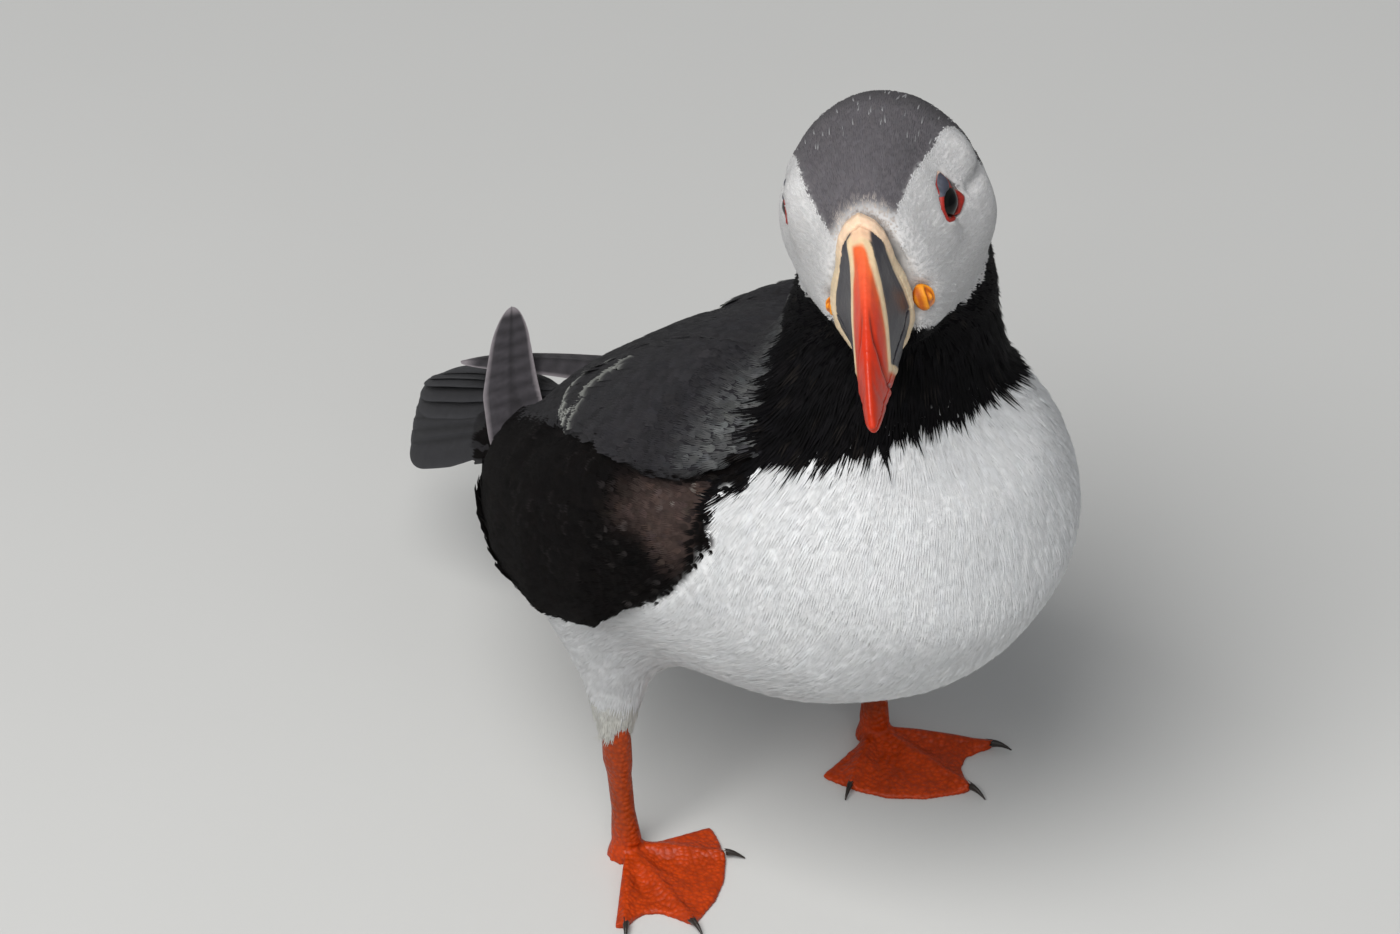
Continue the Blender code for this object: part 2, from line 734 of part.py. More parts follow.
def face(head):
    """Bill, rim, eyes and rosettes, each let into the head."""
    rim = bill_rim()
    bill_half("bill_upper", True)
    bill_half("bill_lower", False)
    fleshy = rosettes()
    cut_clear(rim, *fleshy)
    cut_clear(head, rim, *fleshy, *eyes())
    shade(rim)


def leg(side_name, thigh):
    shank = tarsus(side_name)
    cut_clear(thigh, shank)
    sole = foot(side_name)
    cut_clear(sole, shank)
    for nail in claws(side_name):
        cut_clear(nail, sole)


def build():
    remove_everything()
    flesh = whole_flesh()
    body_cutter = grown(flesh)
    combine(tail(), body_cutter)
    head, neck, trunk, thighs = part_flesh(flesh)
    for side_name, side in (("right", -1), ("left", 1)):
        feather_lobes(side_name, side, trunk, neck, body_cutter)
    bpy.data.objects.remove(body_cutter, do_unlink=True)
    face(head)
    for side_name, thigh in zip(("right", "left"), thighs):
        leg(side_name, thigh)
    for item in (head, neck, trunk, *thighs):
        shade(item)
    stand_on_origin()


build()
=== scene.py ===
import json
import math

import bpy
import numpy as np
from mathutils import Matrix, Vector, kdtree
from mathutils.bvhtree import BVHTree

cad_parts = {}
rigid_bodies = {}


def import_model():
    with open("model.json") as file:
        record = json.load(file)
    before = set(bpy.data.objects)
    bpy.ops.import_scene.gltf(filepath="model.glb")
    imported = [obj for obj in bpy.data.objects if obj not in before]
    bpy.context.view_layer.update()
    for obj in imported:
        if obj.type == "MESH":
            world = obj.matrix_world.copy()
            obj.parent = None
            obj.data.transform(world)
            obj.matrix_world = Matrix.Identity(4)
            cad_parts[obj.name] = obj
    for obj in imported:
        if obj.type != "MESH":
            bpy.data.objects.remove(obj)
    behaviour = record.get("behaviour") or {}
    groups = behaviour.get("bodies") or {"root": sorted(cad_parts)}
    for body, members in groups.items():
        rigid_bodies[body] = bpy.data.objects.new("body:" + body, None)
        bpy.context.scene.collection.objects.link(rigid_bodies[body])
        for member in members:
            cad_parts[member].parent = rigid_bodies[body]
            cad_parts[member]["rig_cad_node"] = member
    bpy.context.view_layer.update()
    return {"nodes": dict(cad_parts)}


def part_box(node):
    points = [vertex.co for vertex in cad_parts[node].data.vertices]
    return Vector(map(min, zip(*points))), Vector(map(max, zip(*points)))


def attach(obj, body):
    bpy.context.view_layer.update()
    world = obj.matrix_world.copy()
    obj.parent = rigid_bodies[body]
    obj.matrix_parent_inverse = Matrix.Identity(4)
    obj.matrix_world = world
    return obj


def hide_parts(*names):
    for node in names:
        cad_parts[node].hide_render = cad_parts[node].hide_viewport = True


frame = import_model()
nodes = frame["nodes"]
bpy.ops.object.select_all(action="DESELECT")
mm = 0.001
dice = np.random.default_rng(11)
print("frame loaded:", len(nodes), "nodes")


# small helpers; every place is in millimetres until a mesh is written
def unit(v):
    v = np.asarray(v, float)
    return v / np.maximum(np.linalg.norm(v, axis=-1, keepdims=True), 1e-9)


def tone(r, g, b):
    c = np.array((r, g, b), float) / 255
    return np.where(c <= 0.04045, c / 12.92, ((c + 0.055) / 1.055) ** 2.4)


def ease(x, low, high):  # 0 up to low, 1 from high, smooth between them
    t = np.clip((np.asarray(x, float) - low) / (high - low), 0, 1)
    return t * t * (3 - 2 * t)


def blend(a, b, share):  # from a to b, with one share for each row
    share = np.asarray(share, float)
    if share.ndim == 1:
        share = share[:, None]
    return a * (1 - share) + b * share


def bell(x, width):
    return np.exp(-(x / width) ** 2)


def pickOnly(*objs):
    bpy.ops.object.select_all(action="DESELECT")
    for o in objs:
        o.select_set(True)
    bpy.context.view_layer.objects.active = objs[0]


def inEditMode(obj, *steps):  # each step acts on all of the mesh
    pickOnly(obj)
    bpy.ops.object.mode_set(mode="EDIT")
    for step in steps:
        bpy.ops.mesh.select_all(action="SELECT")
        step()
    bpy.ops.object.mode_set(mode="OBJECT")


def shadeSmooth(obj):
    pickOnly(obj)
    bpy.ops.object.shade_smooth()


def fetch(source, key, count, kind=np.float32):
    values = np.empty(count, kind)
    source.foreach_get(key, values)
    return values


def pointsOf(obj):
    me = obj.data
    return fetch(me.vertices, "co", len(me.vertices) * 3).reshape(-1, 3).astype(float) / mm


def normalsOf(obj):
    me = obj.data
    return fetch(me.vertex_normals, "vector", len(me.vertices) * 3).reshape(-1, 3).astype(float)


def movePoints(obj, points):
    obj.data.vertices.foreach_set("co", (points * mm).astype(np.float32).ravel())
    obj.data.update()


def trianglesOf(obj):
    me = obj.data
    me.calc_loop_triangles()
    return fetch(me.loop_triangles, "vertices", len(me.loop_triangles) * 3, np.int32).reshape(-1, 3)


def edgesOf(obj):
    me = obj.data
    return fetch(me.edges, "vertices", len(me.edges) * 2, np.int32).reshape(-1, 2)


def gridTriangles(grid):  # two triangles for each cell of a grid of point numbers
    a, b, c, d = grid[:-1, :-1], grid[:-1, 1:], grid[1:, 1:], grid[1:, :-1]
    halves = (np.stack((a, b, c), -1), np.stack((a, c, d), -1))
    return np.concatenate([half.reshape(-1, 3) for half in halves])


def calmOver(edges, values, rounds):  # evens a value out over a mesh
    n = len(values)
    a, b = edges.T
    count = np.maximum(np.bincount(a, minlength=n) + np.bincount(b, minlength=n), 1)
    flat = values.astype(float).reshape(n, -1)
    for _ in range(rounds):
        for k in range(flat.shape[1]):
            col = flat[:, k]
            near = np.bincount(a, col[b], n) + np.bincount(b, col[a], n)
            flat[:, k] = 0.5 * col + 0.5 * near / count
    return flat.reshape(values.shape)


def paintPoints(obj, colours):
    layer = obj.data.color_attributes.get("Tone")
    if layer is None:
        layer = obj.data.color_attributes.new("Tone", "FLOAT_COLOR", "POINT")
    full = np.ones((len(colours), 4), np.float32)
    full[:, :3] = colours
    layer.data.foreach_set("color", full.ravel())


def paintPlain(obj, colour):
    paintPoints(obj, np.repeat(colour[None], len(obj.data.vertices), 0))


def newMesh(title, points, tris):
    me = bpy.data.meshes.new(title)
    me.vertices.add(len(points))
    me.vertices.foreach_set("co", (points * mm).astype(np.float32).ravel())
    me.loops.add(tris.size)
    me.loops.foreach_set("vertex_index", tris.astype(np.int32).ravel())
    me.polygons.add(len(tris))
    me.polygons.foreach_set("loop_start", np.arange(0, tris.size, 3, dtype=np.int32))
    me.polygons.foreach_set("use_smooth", np.full(len(tris), True))
    me.update()
    obj = bpy.data.objects.new(title, me)
    bpy.context.collection.objects.link(obj)
    return obj


def addVaneMaps(obj, tris, flat, patch):  # a vane's own lie for its barbs, and its patch of the unwrap
    vane = obj.data.attributes.new("Vane", "FLOAT_VECTOR", "POINT")
    vane.data.foreach_set("vector", flat.astype(np.float32).ravel())
    uv = obj.data.uv_layers.new(name="OFBake")
    uv.data.foreach_set("uv", patch.reshape(-1, 2)[tris.ravel()].astype(np.float32).ravel())


def settle(obj, material, stands=()):
    obj.data.materials.clear()
    obj.data.materials.append(material)
    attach(obj, "root")
    if stands:
        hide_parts(*stands)


# where things are, read from the solids
def midOf(name):
    lo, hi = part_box(name)
    return np.array((lo + hi) / 2) / mm


# the body's own places count from the right shank
bodyShift = midOf("tarsus_right") - np.array((-35.206, 3.028, 17.55))


def spot(x, y, z):
    return np.array((x, y, z), float) + bodyShift


def bodyPlaces(points):
    return (points - bodyShift).T


# the head's own axes: s to the bird's left, f along the bill, u up
headFrame = {"lift": 5.97, "forward": 1.0, "up": 0.6}


def headAxes():
    left, right = midOf("rosette_left"), midOf("rosette_right")
    side = unit(left - right)
    middle = (left + right) / 2
    beak = pointsOf(nodes["bill_upper"])
    reach = beak[np.argmax(np.linalg.norm(beak - middle, axis=1))] - middle
    reach = unit(reach - side * (reach @ side))
    up = np.cross(reach, side)
    lift = math.radians(headFrame["lift"])
    forward = unit(reach * math.cos(lift) + up * math.sin(lift))
    up = np.cross(forward, side)
    return middle + forward * headFrame["forward"] + up * headFrame["up"], np.array((side, forward, up))


headMid, headBasis = headAxes()
print("head at", headMid.round(2))


def toHead(points):
    return (points - headMid) @ headBasis.T


def fromHead(places):
    return headMid + np.asarray(places, float) @ headBasis


eyeMids = {"right": toHead(midOf("eye_right")) + (-0.9, -0.2, -0.1),
           "left": toHead(midOf("eye_left")) + (0, 0.5, -0.1)}

# lids: a kite of skin round a round opening, in the eye's own plane (towards the rear, up)
lid = {"corners": ((6.0, -2.3), (3.3, 2.6), (2.5, 6.3), (1.5, 6.6), (-2.2, 4.1), (-4.5, 1.1),
                   (-4.1, -2.5), (1.4, -4.2)),
       "opening": 2.9, "turn": {"right": 4, "left": 26}}


def eyeAxes(side):
    e = eyeMids[side]
    sign = 1 if e[0] > 0 else -1
    tilt = math.radians(lid["turn"][side])
    out = unit(np.array((sign * math.cos(tilt), math.sin(tilt), 0.1)))
    rear = unit(np.array((0, -1, 0.0)) + out * out[1])
    top = np.cross(rear, out)
    if top[2] < 0:
        top = -top
    return fromHead(e), out @ headBasis, rear @ headBasis, top @ headBasis


def lidEdge(angle):  # distance from the middle of the opening to the kite's edge
    way = np.stack((np.cos(angle), np.sin(angle)), -1)
    reach = np.full(np.shape(angle), 99.0)
    points = np.array(lid["corners"])
    for a, b in zip(points, np.roll(points, -1, 0)):
        edge = b - a
        cross = way[..., 0] * edge[1] - way[..., 1] * edge[0]
        cross = np.where(np.abs(cross) < 1e-9, 1e-9, cross)
        far = (a[0] * edge[1] - a[1] * edge[0]) / cross
        share = (a[0] * way[..., 1] - a[1] * way[..., 0]) / cross
        meets = (far > 0) & (share >= -1e-6) & (share <= 1 + 1e-6)
        reach = np.where(meets, np.minimum(reach, far), reach)
    return reach


def eyeGap(places):  # 1 on the edge of the lids, more outside
    farAway = 9.0
    s = toHead(places)[:, 0]
    gap = np.full(len(places), farAway)
    for side, e in eyeMids.items():
        mid, out, rear, top = eyeAxes(side)
        back, high, deep = (places - mid) @ rear, (places - mid) @ top, (places - mid) @ out
        here = np.hypot(back, high) / lidEdge(np.arctan2(high, back))
        here = np.where(deep < 0.5, farAway, here)
        gap = np.where(s * e[0] > 0, here, gap)
    return gap


# materials
def startMaterial(name):
    mat = bpy.data.materials.new(name)
    mat.use_nodes = True
    return mat, mat.node_tree, mat.node_tree.nodes["Principled BSDF"]


def link(tree, a, out, b, into):
    tree.links.new(a.outputs[out], b.inputs[into])


def setInputs(node, values):
    for name, value in values.items():
        node.inputs[name].default_value = value


def scaled(tree, source, factor, out):  # a colour times what a node gives
    mix = tree.nodes.new("ShaderNodeVectorMath")
    mix.operation = "SCALE"
    tree.links.new(source, mix.inputs[0])
    link(tree, factor, out, mix, "Scale")
    return mix.outputs[0]


def mottle(tree, source, strength, scale):  # lighter and darker patches over a colour
    coord = tree.nodes.new("ShaderNodeTexCoord")
    noise = tree.nodes.new("ShaderNodeTexNoise")
    setInputs(noise, {"Scale": scale, "Detail": 4})
    link(tree, coord, "Object", noise, "Vector")
    ramp = tree.nodes.new("ShaderNodeMapRange")
    setInputs(ramp, {"From Min": 0.3, "From Max": 0.7, "To Min": 1 - strength, "To Max": 1 + strength})
    link(tree, noise, "Fac", ramp, "Value")
    return scaled(tree, source, ramp, "Result")


def paintedTone(tree):  # the colour painted on the mesh
    tint = tree.nodes.new("ShaderNodeAttribute")
    tint.attribute_name = "Tone"
    return tint.outputs["Color"]


def addBump(tree, shader, height, distance, strength=1.0):
    bump = tree.nodes.new("ShaderNodeBump")
    setInputs(bump, {"Distance": distance, "Strength": strength})
    tree.links.new(height, bump.inputs["Height"])
    link(tree, bump, "Normal", shader, "Normal")
    return bump


barbLook = {"scale": 3.2, "waver": 1.5, "depth": 0.00008, "fleck": 700}


def plumageMaterial(name, rough, sheen, glow, fleck, specular):
    mat, tree, shader = startMaterial(name)
    tree.links.new(mottle(tree, paintedTone(tree), fleck, barbLook["fleck"]), shader.inputs["Base Color"])
    setInputs(shader, {"Roughness": rough, "Specular IOR Level": specular,
                       "Sheen Weight": sheen, "Sheen Roughness": 0.5})
    if glow:
        setInputs(shader, {"Subsurface Weight": glow, "Subsurface Radius": (1.0, 0.95, 0.9),
                           "Subsurface Scale": 0.0012})
    vane = tree.nodes.new("ShaderNodeAttribute")
    vane.attribute_name = "Vane"
    barbs = tree.nodes.new("ShaderNodeTexWave")
    barbs.bands_direction = "Y"
    setInputs(barbs, {"Scale": barbLook["scale"], "Distortion": barbLook["waver"], "Detail": 1.0})
    link(tree, vane, "Vector", barbs, "Vector")
    addBump(tree, shader, barbs.outputs["Fac"], barbLook["depth"], 0.5)
    return mat


whitePlumage = plumageMaterial("white_plumage", 0.8, 0.1, 0.3, 0.025, 0.15)
palePlumage = plumageMaterial("face_plumage", 0.8, 0.1, 0.3, 0.03, 0.15)
crownPlumage = plumageMaterial("crown_plumage", 0.75, 0.06, 0.0, 0.1, 0.1)
blackPlumage = plumageMaterial("collar_plumage", 0.6, 0.0, 0.0, 0.25, 0.06)
slatePlumage = plumageMaterial("mantle_plumage", 0.65, 0.02, 0.0, 0.12, 0.08)
wingPlumage = plumageMaterial("wing_plumage", 0.65, 0.0, 0.0, 0.2, 0.03)
quillPlumage = plumageMaterial("quill_plumage", 0.6, 0.03, 0.0, 0.1, 0.15)

# the skin under the coat, one piece for all nodes of flesh
skinLook = {"voxel": 1.15, "fill": 0.35, "calm": 10, "wingCut": 62,
            "depth": {"head": 0.7, "neck": 1.6, "trunk": 1.2, "thigh": 1.3, "scapulars": 1.3, "wing": 1.1}}
fleshNames = ["head", "neck", "trunk", "thigh_right", "thigh_left",
              "scapulars_right", "scapulars_left", "wing_right", "wing_left"]
partNames = list(skinLook["depth"])
headPart, neckPart, trunkPart, thighPart, scapPart, wingPart = range(6)


def meltNodes(names, title, voxel, fill, rounds, cutY=None):
    twins = []
    for name in names:
        twin = bpy.data.objects.new(title, nodes[name].data.copy())
        bpy.context.collection.objects.link(twin)
        steps = [lambda: bpy.ops.mesh.remove_doubles(threshold=0.000002)]
        if cutY is not None and name.startswith("wing"):
            steps.append(lambda: bpy.ops.mesh.bisect(plane_co=(0, cutY * mm, 0), plane_no=(0, 1, 0),
                                                     use_fill=True, clear_outer=True))
        inEditMode(twin, *steps)
        twins.append(twin)
    pickOnly(*twins)
    if len(twins) > 1:
        bpy.ops.object.join()
    body = bpy.context.view_layer.objects.active
    body.name = title
    body.data.materials.clear()
    if fill:
        swell = body.modifiers.new("swell", "DISPLACE")
        swell.strength = fill * mm
        swell.mid_level = 0
    melt = body.modifiers.new("melt", "REMESH")
    melt.mode = "VOXEL"
    melt.voxel_size = voxel * mm
    melt.use_smooth_shade = True
    calm = body.modifiers.new("calm", "SMOOTH")
    calm.factor = 0.5
    calm.iterations = rounds
    body.modifiers.new("facets", "TRIANGULATE")
    pickOnly(body)
    for m in list(body.modifiers):
        bpy.ops.object.modifier_apply(modifier=m.name)
    return body


skin = meltNodes(fleshNames, "skin", skinLook["voxel"], skinLook["fill"], skinLook["calm"],
                 cutY=spot(0, skinLook["wingCut"], 0)[1])
print("skin melted:", len(skin.data.polygons), "triangles")


def finderOf(names):  # finds the nearest of these nodes' surfaces, and says which part it is
    verts, faces, tags, start = [], [], [], 0
    for name in names:
        points, tris = pointsOf(nodes[name]), trianglesOf(nodes[name])
        verts.append(points)
        faces.append(tris + start)
        tags += [partNames.index(name.split("_")[0])] * len(tris)
        start += len(points)
    tree = BVHTree.FromPolygons(np.concatenate(verts).tolist(), np.concatenate(faces).tolist())
    return tree, np.array(tags)


fleshTree, fleshTags = finderOf(fleshNames)
wingTree = finderOf(["wing_right", "wing_left", "scapulars_right", "scapulars_left"])[0]


def partOf(points):
    return np.array([fleshTags[fleshTree.find_nearest(p)[2]] for p in points.tolist()])


def gapTo(tree, points, limit):
    gaps = []
    for p in points.tolist():
        hit = tree.find_nearest(p, limit)
        gaps.append(limit if hit[0] is None else hit[3])
    return np.array(gaps)


# the markings, in the head's axes (s, f, u) and in the body's places (x, y, z)
crown, face, collar, white, mantle, wing, leg = range(7)
marks = {"crownBack": -31.6, "crownSide": 17, "napeHalf": 6.0, "crownReach": (0, 5, 10, 13, 22, 31),
         "crownLeft": (4.8, 7.2, 9.0, 10.2, 13.8, 17), "crownRight": (6.4, 9.2, 11.6, 12.9, 14.9, 17),
         "chinF": (-46, -40, -34, -28, -24, -18, -10, -4, -1, 1.5),
         "chinU": (6, 0, -5, -9, -11.5, -13.2, -12, -10, -6.5, -3),
         "chinRight": (6, 0, -5, -8, -9.8, -8.5, -6, -5, -4, -2), "faceBack": -44,
         "lobeY": (-37, -34, -30, -26, -21, -15, -8, 2, 12, 22, 29, 36),
         "lobeZ": (132, 127.7, 125.4, 123.6, 122.3, 120.3, 118.8, 115.9, 111.5, 105.8, 101.9, 97.5),
         "collarX": (0, 8, 17, 22, 28, 34, 40), "collarZ": (143.8, 144, 140.5, 138.8, 136, 132.7, 131)}
codeTones = {crown: tone(95, 92, 96), face: tone(214, 213, 213), collar: tone(13, 12, 14),
             white: tone(234, 235, 236), mantle: tone(42, 41, 44), wing: tone(15, 13, 13),
             leg: tone(214, 213, 206)}
wristTone = tone(66, 55, 52)


def crownHalf(s, f):  # half width of the crown's patch
    half = np.where(s > 0, np.interp(-f, marks["crownReach"], marks["crownLeft"]),
                    np.interp(-f, marks["crownReach"], marks["crownRight"]))
    past = np.maximum(marks["crownBack"] - f, 0)
    return np.maximum(np.where(past > 0, marks["crownSide"] - past * 1.35, half), marks["napeHalf"])


def lobeOver(points):  # height over the lower edge of the shoulder lobe
    x, y, z = bodyPlaces(points)
    return z - np.interp(y, marks["lobeY"], marks["lobeZ"])


def markingAt(points, parts):
    s, f, u = toHead(points).T
    x, y, z = bodyPlaces(points)
    onTop = u > np.maximum(7 - 1.4 * np.maximum(-28 - f, 0), 13.2 + (f + 1.5) * 1.6)
    onTop = onTop & (u > -6)
    behindFace = f < marks["crownBack"] - 0.45 * np.maximum(12 - u, 0) - 0.5 * np.maximum(2 - u, 0)
    capped = (np.abs(s) < crownHalf(s, f)) | behindFace
    chin = np.interp(f, marks["chinF"], marks["chinU"])
    chinRight = np.interp(f, marks["chinF"], marks["chinRight"])
    chin = chin + (chinRight - chin) * ease(-s, -3, 6)
    isHead = parts == headPart
    isTrunk = parts == trunkPart
    isNeck = parts == neckPart
    code = np.full(len(points), white)
    code[isHead] = collar
    code[isHead & ~capped & (u > chin) & (f > marks["faceBack"])] = face
    code[isHead & capped & onTop] = crown
    breastLine = np.interp(np.abs(x), marks["collarX"], marks["collarZ"])
    behind = y > -39 + np.maximum(z - 137, 0) * 0.6
    code[(isNeck | isTrunk) & (y < -33) & (z > breastLine)] = collar
    code[isNeck & (y > -40)] = collar
    code[isTrunk & (y >= -33) & (z > 128 - (y + 35) * 0.52)] = mantle
    code[(code == collar) & behind & (z < 160)] = mantle
    code[isTrunk & (y > 50) & (z > 60 + np.maximum(70 - y, 0) * 0.4)] = mantle
    code[parts == scapPart] = mantle
    over = lobeOver(points) > 0
    code[parts == wingPart] = wing
    code[(parts == wingPart) & over & (y < 36)] = mantle
    code[(parts == scapPart) & ~over & (np.abs(x) > 24)] = wing
    code[parts == thighPart] = leg
    return code


def wingTone(points):  # browner at the wrist, just under the lobe
    x, y, z = bodyPlaces(points)
    over = lobeOver(points)
    deep = 8 + 9 * ease(-y, 22, 32)
    wrist = ease(-y, 8, 24) * (1 - ease(-y, 33, 35)) * ease(z, 94, 106)
    wrist = wrist * ease(-over, 2.0, 4.5) * (1 - ease(-over - deep, 0, 8))
    return blend(codeTones[wing], wristTone, wrist)


# the face's form by each eye; a lump is (forward, up, size, height) from the eye
eyeForm = {"right": {"hollow": 0.4, "lore": 0.8, "furrow": (0.5, 0.3, 0.8),
                     "lumps": ((6, 2.5, 6.0, 2.1), (5, -4, 5.0, 0.6), (0.5, 6.0, 5.0, 1.6),
                               (-6, -5, 6.0, 0.2))},
           "left": {"hollow": 0.4, "lore": 1.5, "furrow": (-0.8, 0.1, 1.5),
                    "lumps": ((-9.5, 5.5, 4.2, 1.5), (-8, -8, 7.0, 0.9))}}
skull = {"middle": (-15.5, -17, 19), "size": 8.5, "height": 2.0}
# under is the share of each marking's tone that the skin gets: painted shade under the coat
bodyForm = {"depthRounds": 12, "lobe": 1.0, "underLobe": 2.0, "lidDish": 1.3, "wingRim": 0.9,
            "roundShare": 16, "breastCalm": 120, "breastFill": 0.85, "under": 0.8}


def facePush(points, isHead):  # hollow for the eye, brow and cheek over and behind it, raised lore in front
    s, f, u = toHead(points).T
    push = np.zeros(len(points))
    for name, e in eyeMids.items():
        form = eyeForm[name]
        sameSide = isHead & (s * e[0] > 0)
        df, du = f - e[1], u - e[2]
        for atF, atU, size, height in ((0, 0, 4.4, -form["hollow"]),) + form["lumps"]:
            push += height * np.exp(-((df - atF) ** 2 + (du - atU) ** 2) / size ** 2) * sameSide
        lore = ease(df, 1.6, 3.4) * np.exp(-(np.maximum(df - 3.5, 0) / 5) ** 2 - ((du + 0.5) / 6.5) ** 2)
        push += form["lore"] * lore * sameSide
        start, slope, depth = form["furrow"]
        off = du - (start + np.clip(-(df + 5), 0, 14) * slope)
        push -= depth * bell(off, 1.5) * ease(-df, 3.5, 6) * (1 - ease(-df, 14, 20)) * sameSide
    push -= bodyForm["lidDish"] * (1 - ease(eyeGap(points), 0.72, 1.06)) * isHead
    far = np.linalg.norm(toHead(points) - np.array(skull["middle"]), axis=1)
    return push + skull["height"] * bell(far, skull["size"]) * isHead


def shapeSkin():
    points, normals, edges = pointsOf(skin), normalsOf(skin), edgesOf(skin)
    parts = partOf(points)
    depths = calmOver(edges, np.array(list(skinLook["depth"].values()))[parts], bodyForm["depthRounds"])
    near = gapTo(wingTree, points, 4.0)
    code = markingAt(points, parts)
    x, y, z = bodyPlaces(points)
    # painted shadow: white trunk skin close under the shoulder lobe and wing gets the collar's black, for the
    # shaded gap there
    code[(parts == trunkPart) & (near < 2.6) & (code == white) & (z > 118) & (y < 0)] = collar
    # the shoulder lobe stands over the folded wing
    outer = ((parts == scapPart) | (parts == wingPart)) & (np.abs(x) > 20) & (y < 40)
    over = lobeOver(points)
    step = ease(over, -0.9, 0.5)
    shelf = step * bodyForm["lobe"] * bell(over, 9) - (1 - step) * bodyForm["underLobe"] * bell(over, 5.5)
    shelf = shelf * ease(-y, -40, -30)
    points = points - normals * depths[:, None] + normals * (shelf * outer)[:, None]
    isHead = parts == headPart
    push = facePush(points, isHead)
    rim = (code == white) & (y > -45) & (y < 30)
    push -= bodyForm["wingRim"] * bell(gapTo(wingTree, points, 6.0), 3.0) * rim
    f, u = toHead(points)[:, 1:].T
    points = points + normals * push[:, None]
    # the breast and belly are one full round
    share = ((parts == trunkPart) & ((code == white) | (code == collar))).astype(float)
    share = calmOver(edges, share, bodyForm["roundShare"])[:, None]
    calm = calmOver(edges, points, bodyForm["breastCalm"])
    points = points + (calm - points + normals * bodyForm["breastFill"]) * share
    movePoints(skin, points)
    code = np.where(isHead, markingAt(points, parts), code)
    # painted shade: the skin under the coat is painted darker than its marking, by the under share of
    # bodyForm
    tones = np.array([codeTones[c] for c in range(7)])[code] * bodyForm["under"]
    tones[code == wing] = wingTone(points)[code == wing] * bodyForm["under"]
    tones = blend(tones, codeTones[face] * 0.9, isHead * ease(f, -3.4, -0.8) * (u > -8))
    paintPoints(skin, calmOver(edges, tones, 1))
    return parts, code, edges


skinParts, skinCodes, skinEdges = shapeSkin()
inEditMode(skin, lambda: bpy.ops.uv.smart_project(angle_limit=math.radians(66), island_margin=0.004))
skin.data.uv_layers[0].name = "OFBake"
print("skin shaped and unwrapped")


# the lie of the feathers, down and back over each part
flows = {"neck": (0, 0.75, -0.65), "trunk": (0, 0.78, -0.62), "thigh": (0, 0.2, -1),
         "scapulars": (0.06, 0.9, -0.43), "wing": (0.24, 0.87, -0.4)}


def flatten(ways, normals):  # takes away what points in or out of the skin
    return ways - normals * (ways * normals).sum(1)[:, None]


def coatFlow():
    points, normals = pointsOf(skin), normalsOf(skin)
    h = toHead(points)
    lie = np.zeros_like(points)
    away = unit(np.stack((h[:, 0] * 0.5, h[:, 1] - 4, (h[:, 2] - 3) * 0.4), 1))
    away[:, 2] -= ease(-h[:, 1], 20, 40) + 0.35 * ease(-h[:, 2], -4, 12)
    lie[skinParts == headPart] = (away @ headBasis)[skinParts == headPart]
    towards = -np.sign(points[:, 0])
    for name, flow in flows.items():
        here = skinParts == partNames.index(name)
        v = np.tile(np.array(flow, float), (len(points), 1))
        if name in ("neck", "trunk"):
            under = ease(-normals[:, 2], -0.2, 0.75)
            upper = ease(points[:, 1] - bodyShift[1], -42, -20) * ease(normals[:, 2], 0.0, 0.5)
            v[:, 0] = 0
            v[:, 1] = 0.22 + 0.78 * np.maximum(under, upper)
            v[:, 2] = -1 + 0.75 * under + 0.4 * upper
        v[:, 0] *= towards
        lie[here] = v[here]
    for _ in range(3):
        lie = calmOver(skinEdges, unit(flatten(lie, normals)), 6)
    return points, normals, unit(flatten(lie, normals))


skinPoints, skinNormals, skinLie = coatFlow()
skinTris = trianglesOf(skin)
skinTree = BVHTree.FromPolygons(skinPoints.tolist(), skinTris.tolist())
skinUv = fetch(skin.data.uv_layers[0].data, "uv", len(skin.data.loops) * 2).reshape(-1, 3, 2)
corner = skinPoints[skinTris]
triArea = np.linalg.norm(np.cross(corner[:, 1] - corner[:, 0], corner[:, 2] - corner[:, 0]), axis=1) / 2
triMid = corner.mean(1)
triLie = unit(skinLie[skinTris].mean(1))
triPart = skinParts[skinTris[:, 0]]
cornerCode = skinCodes[skinTris]
triCode = np.where(cornerCode[:, 0] == cornerCode[:, 1], cornerCode[:, 0], cornerCode[:, 2])
print("skin area", triArea.sum().round(), "mm2; by marking",
      [int(triArea[triCode == k].sum()) for k in range(7)])


def scatterRoots(allowed, spacing):  # even spacing by dropping what stands too close
    tries = 5  # for each place that a plume will fill
    weight = np.where(allowed, triArea / spacing ** 2, 0)
    count = int(weight.sum() * tries)
    pick = dice.choice(len(triArea), count, p=weight / weight.sum())
    a, b = dice.random((2, count))
    flip = a + b > 1
    a[flip], b[flip] = 1 - a[flip], 1 - b[flip]
    share = np.stack((1 - a - b, a, b), 1)
    places = (corner[pick] * share[:, :, None]).sum(1)
    tree = kdtree.KDTree(count)
    for k, p in enumerate(places.tolist()):
        tree.insert(p, k)
    tree.balance()
    alive = np.ones(count, bool)
    reach = spacing[pick]
    for k in range(count):
        if alive[k]:
            for _, other, _ in tree.find_range(places[k], reach[k]):
                if other > k:
                    alive[other] = False
    pick, share, places = pick[alive], share[alive], places[alive]

    def mixed(values):
        return (values * share[:, :, None]).sum(1)

    tri = skinTris[pick]
    code = np.where(triPart[pick] == headPart, markingAt(places, triPart[pick]), triCode[pick])
    return {"place": places, "normal": unit(mixed(skinNormals[tri])), "lie": unit(mixed(skinLie[tri])),
            "uv": mixed(skinUv[pick]), "code": code, "part": triPart[pick]}


def trimRoots(roots, keep):
    return {k: v[keep] for k, v in roots.items()}


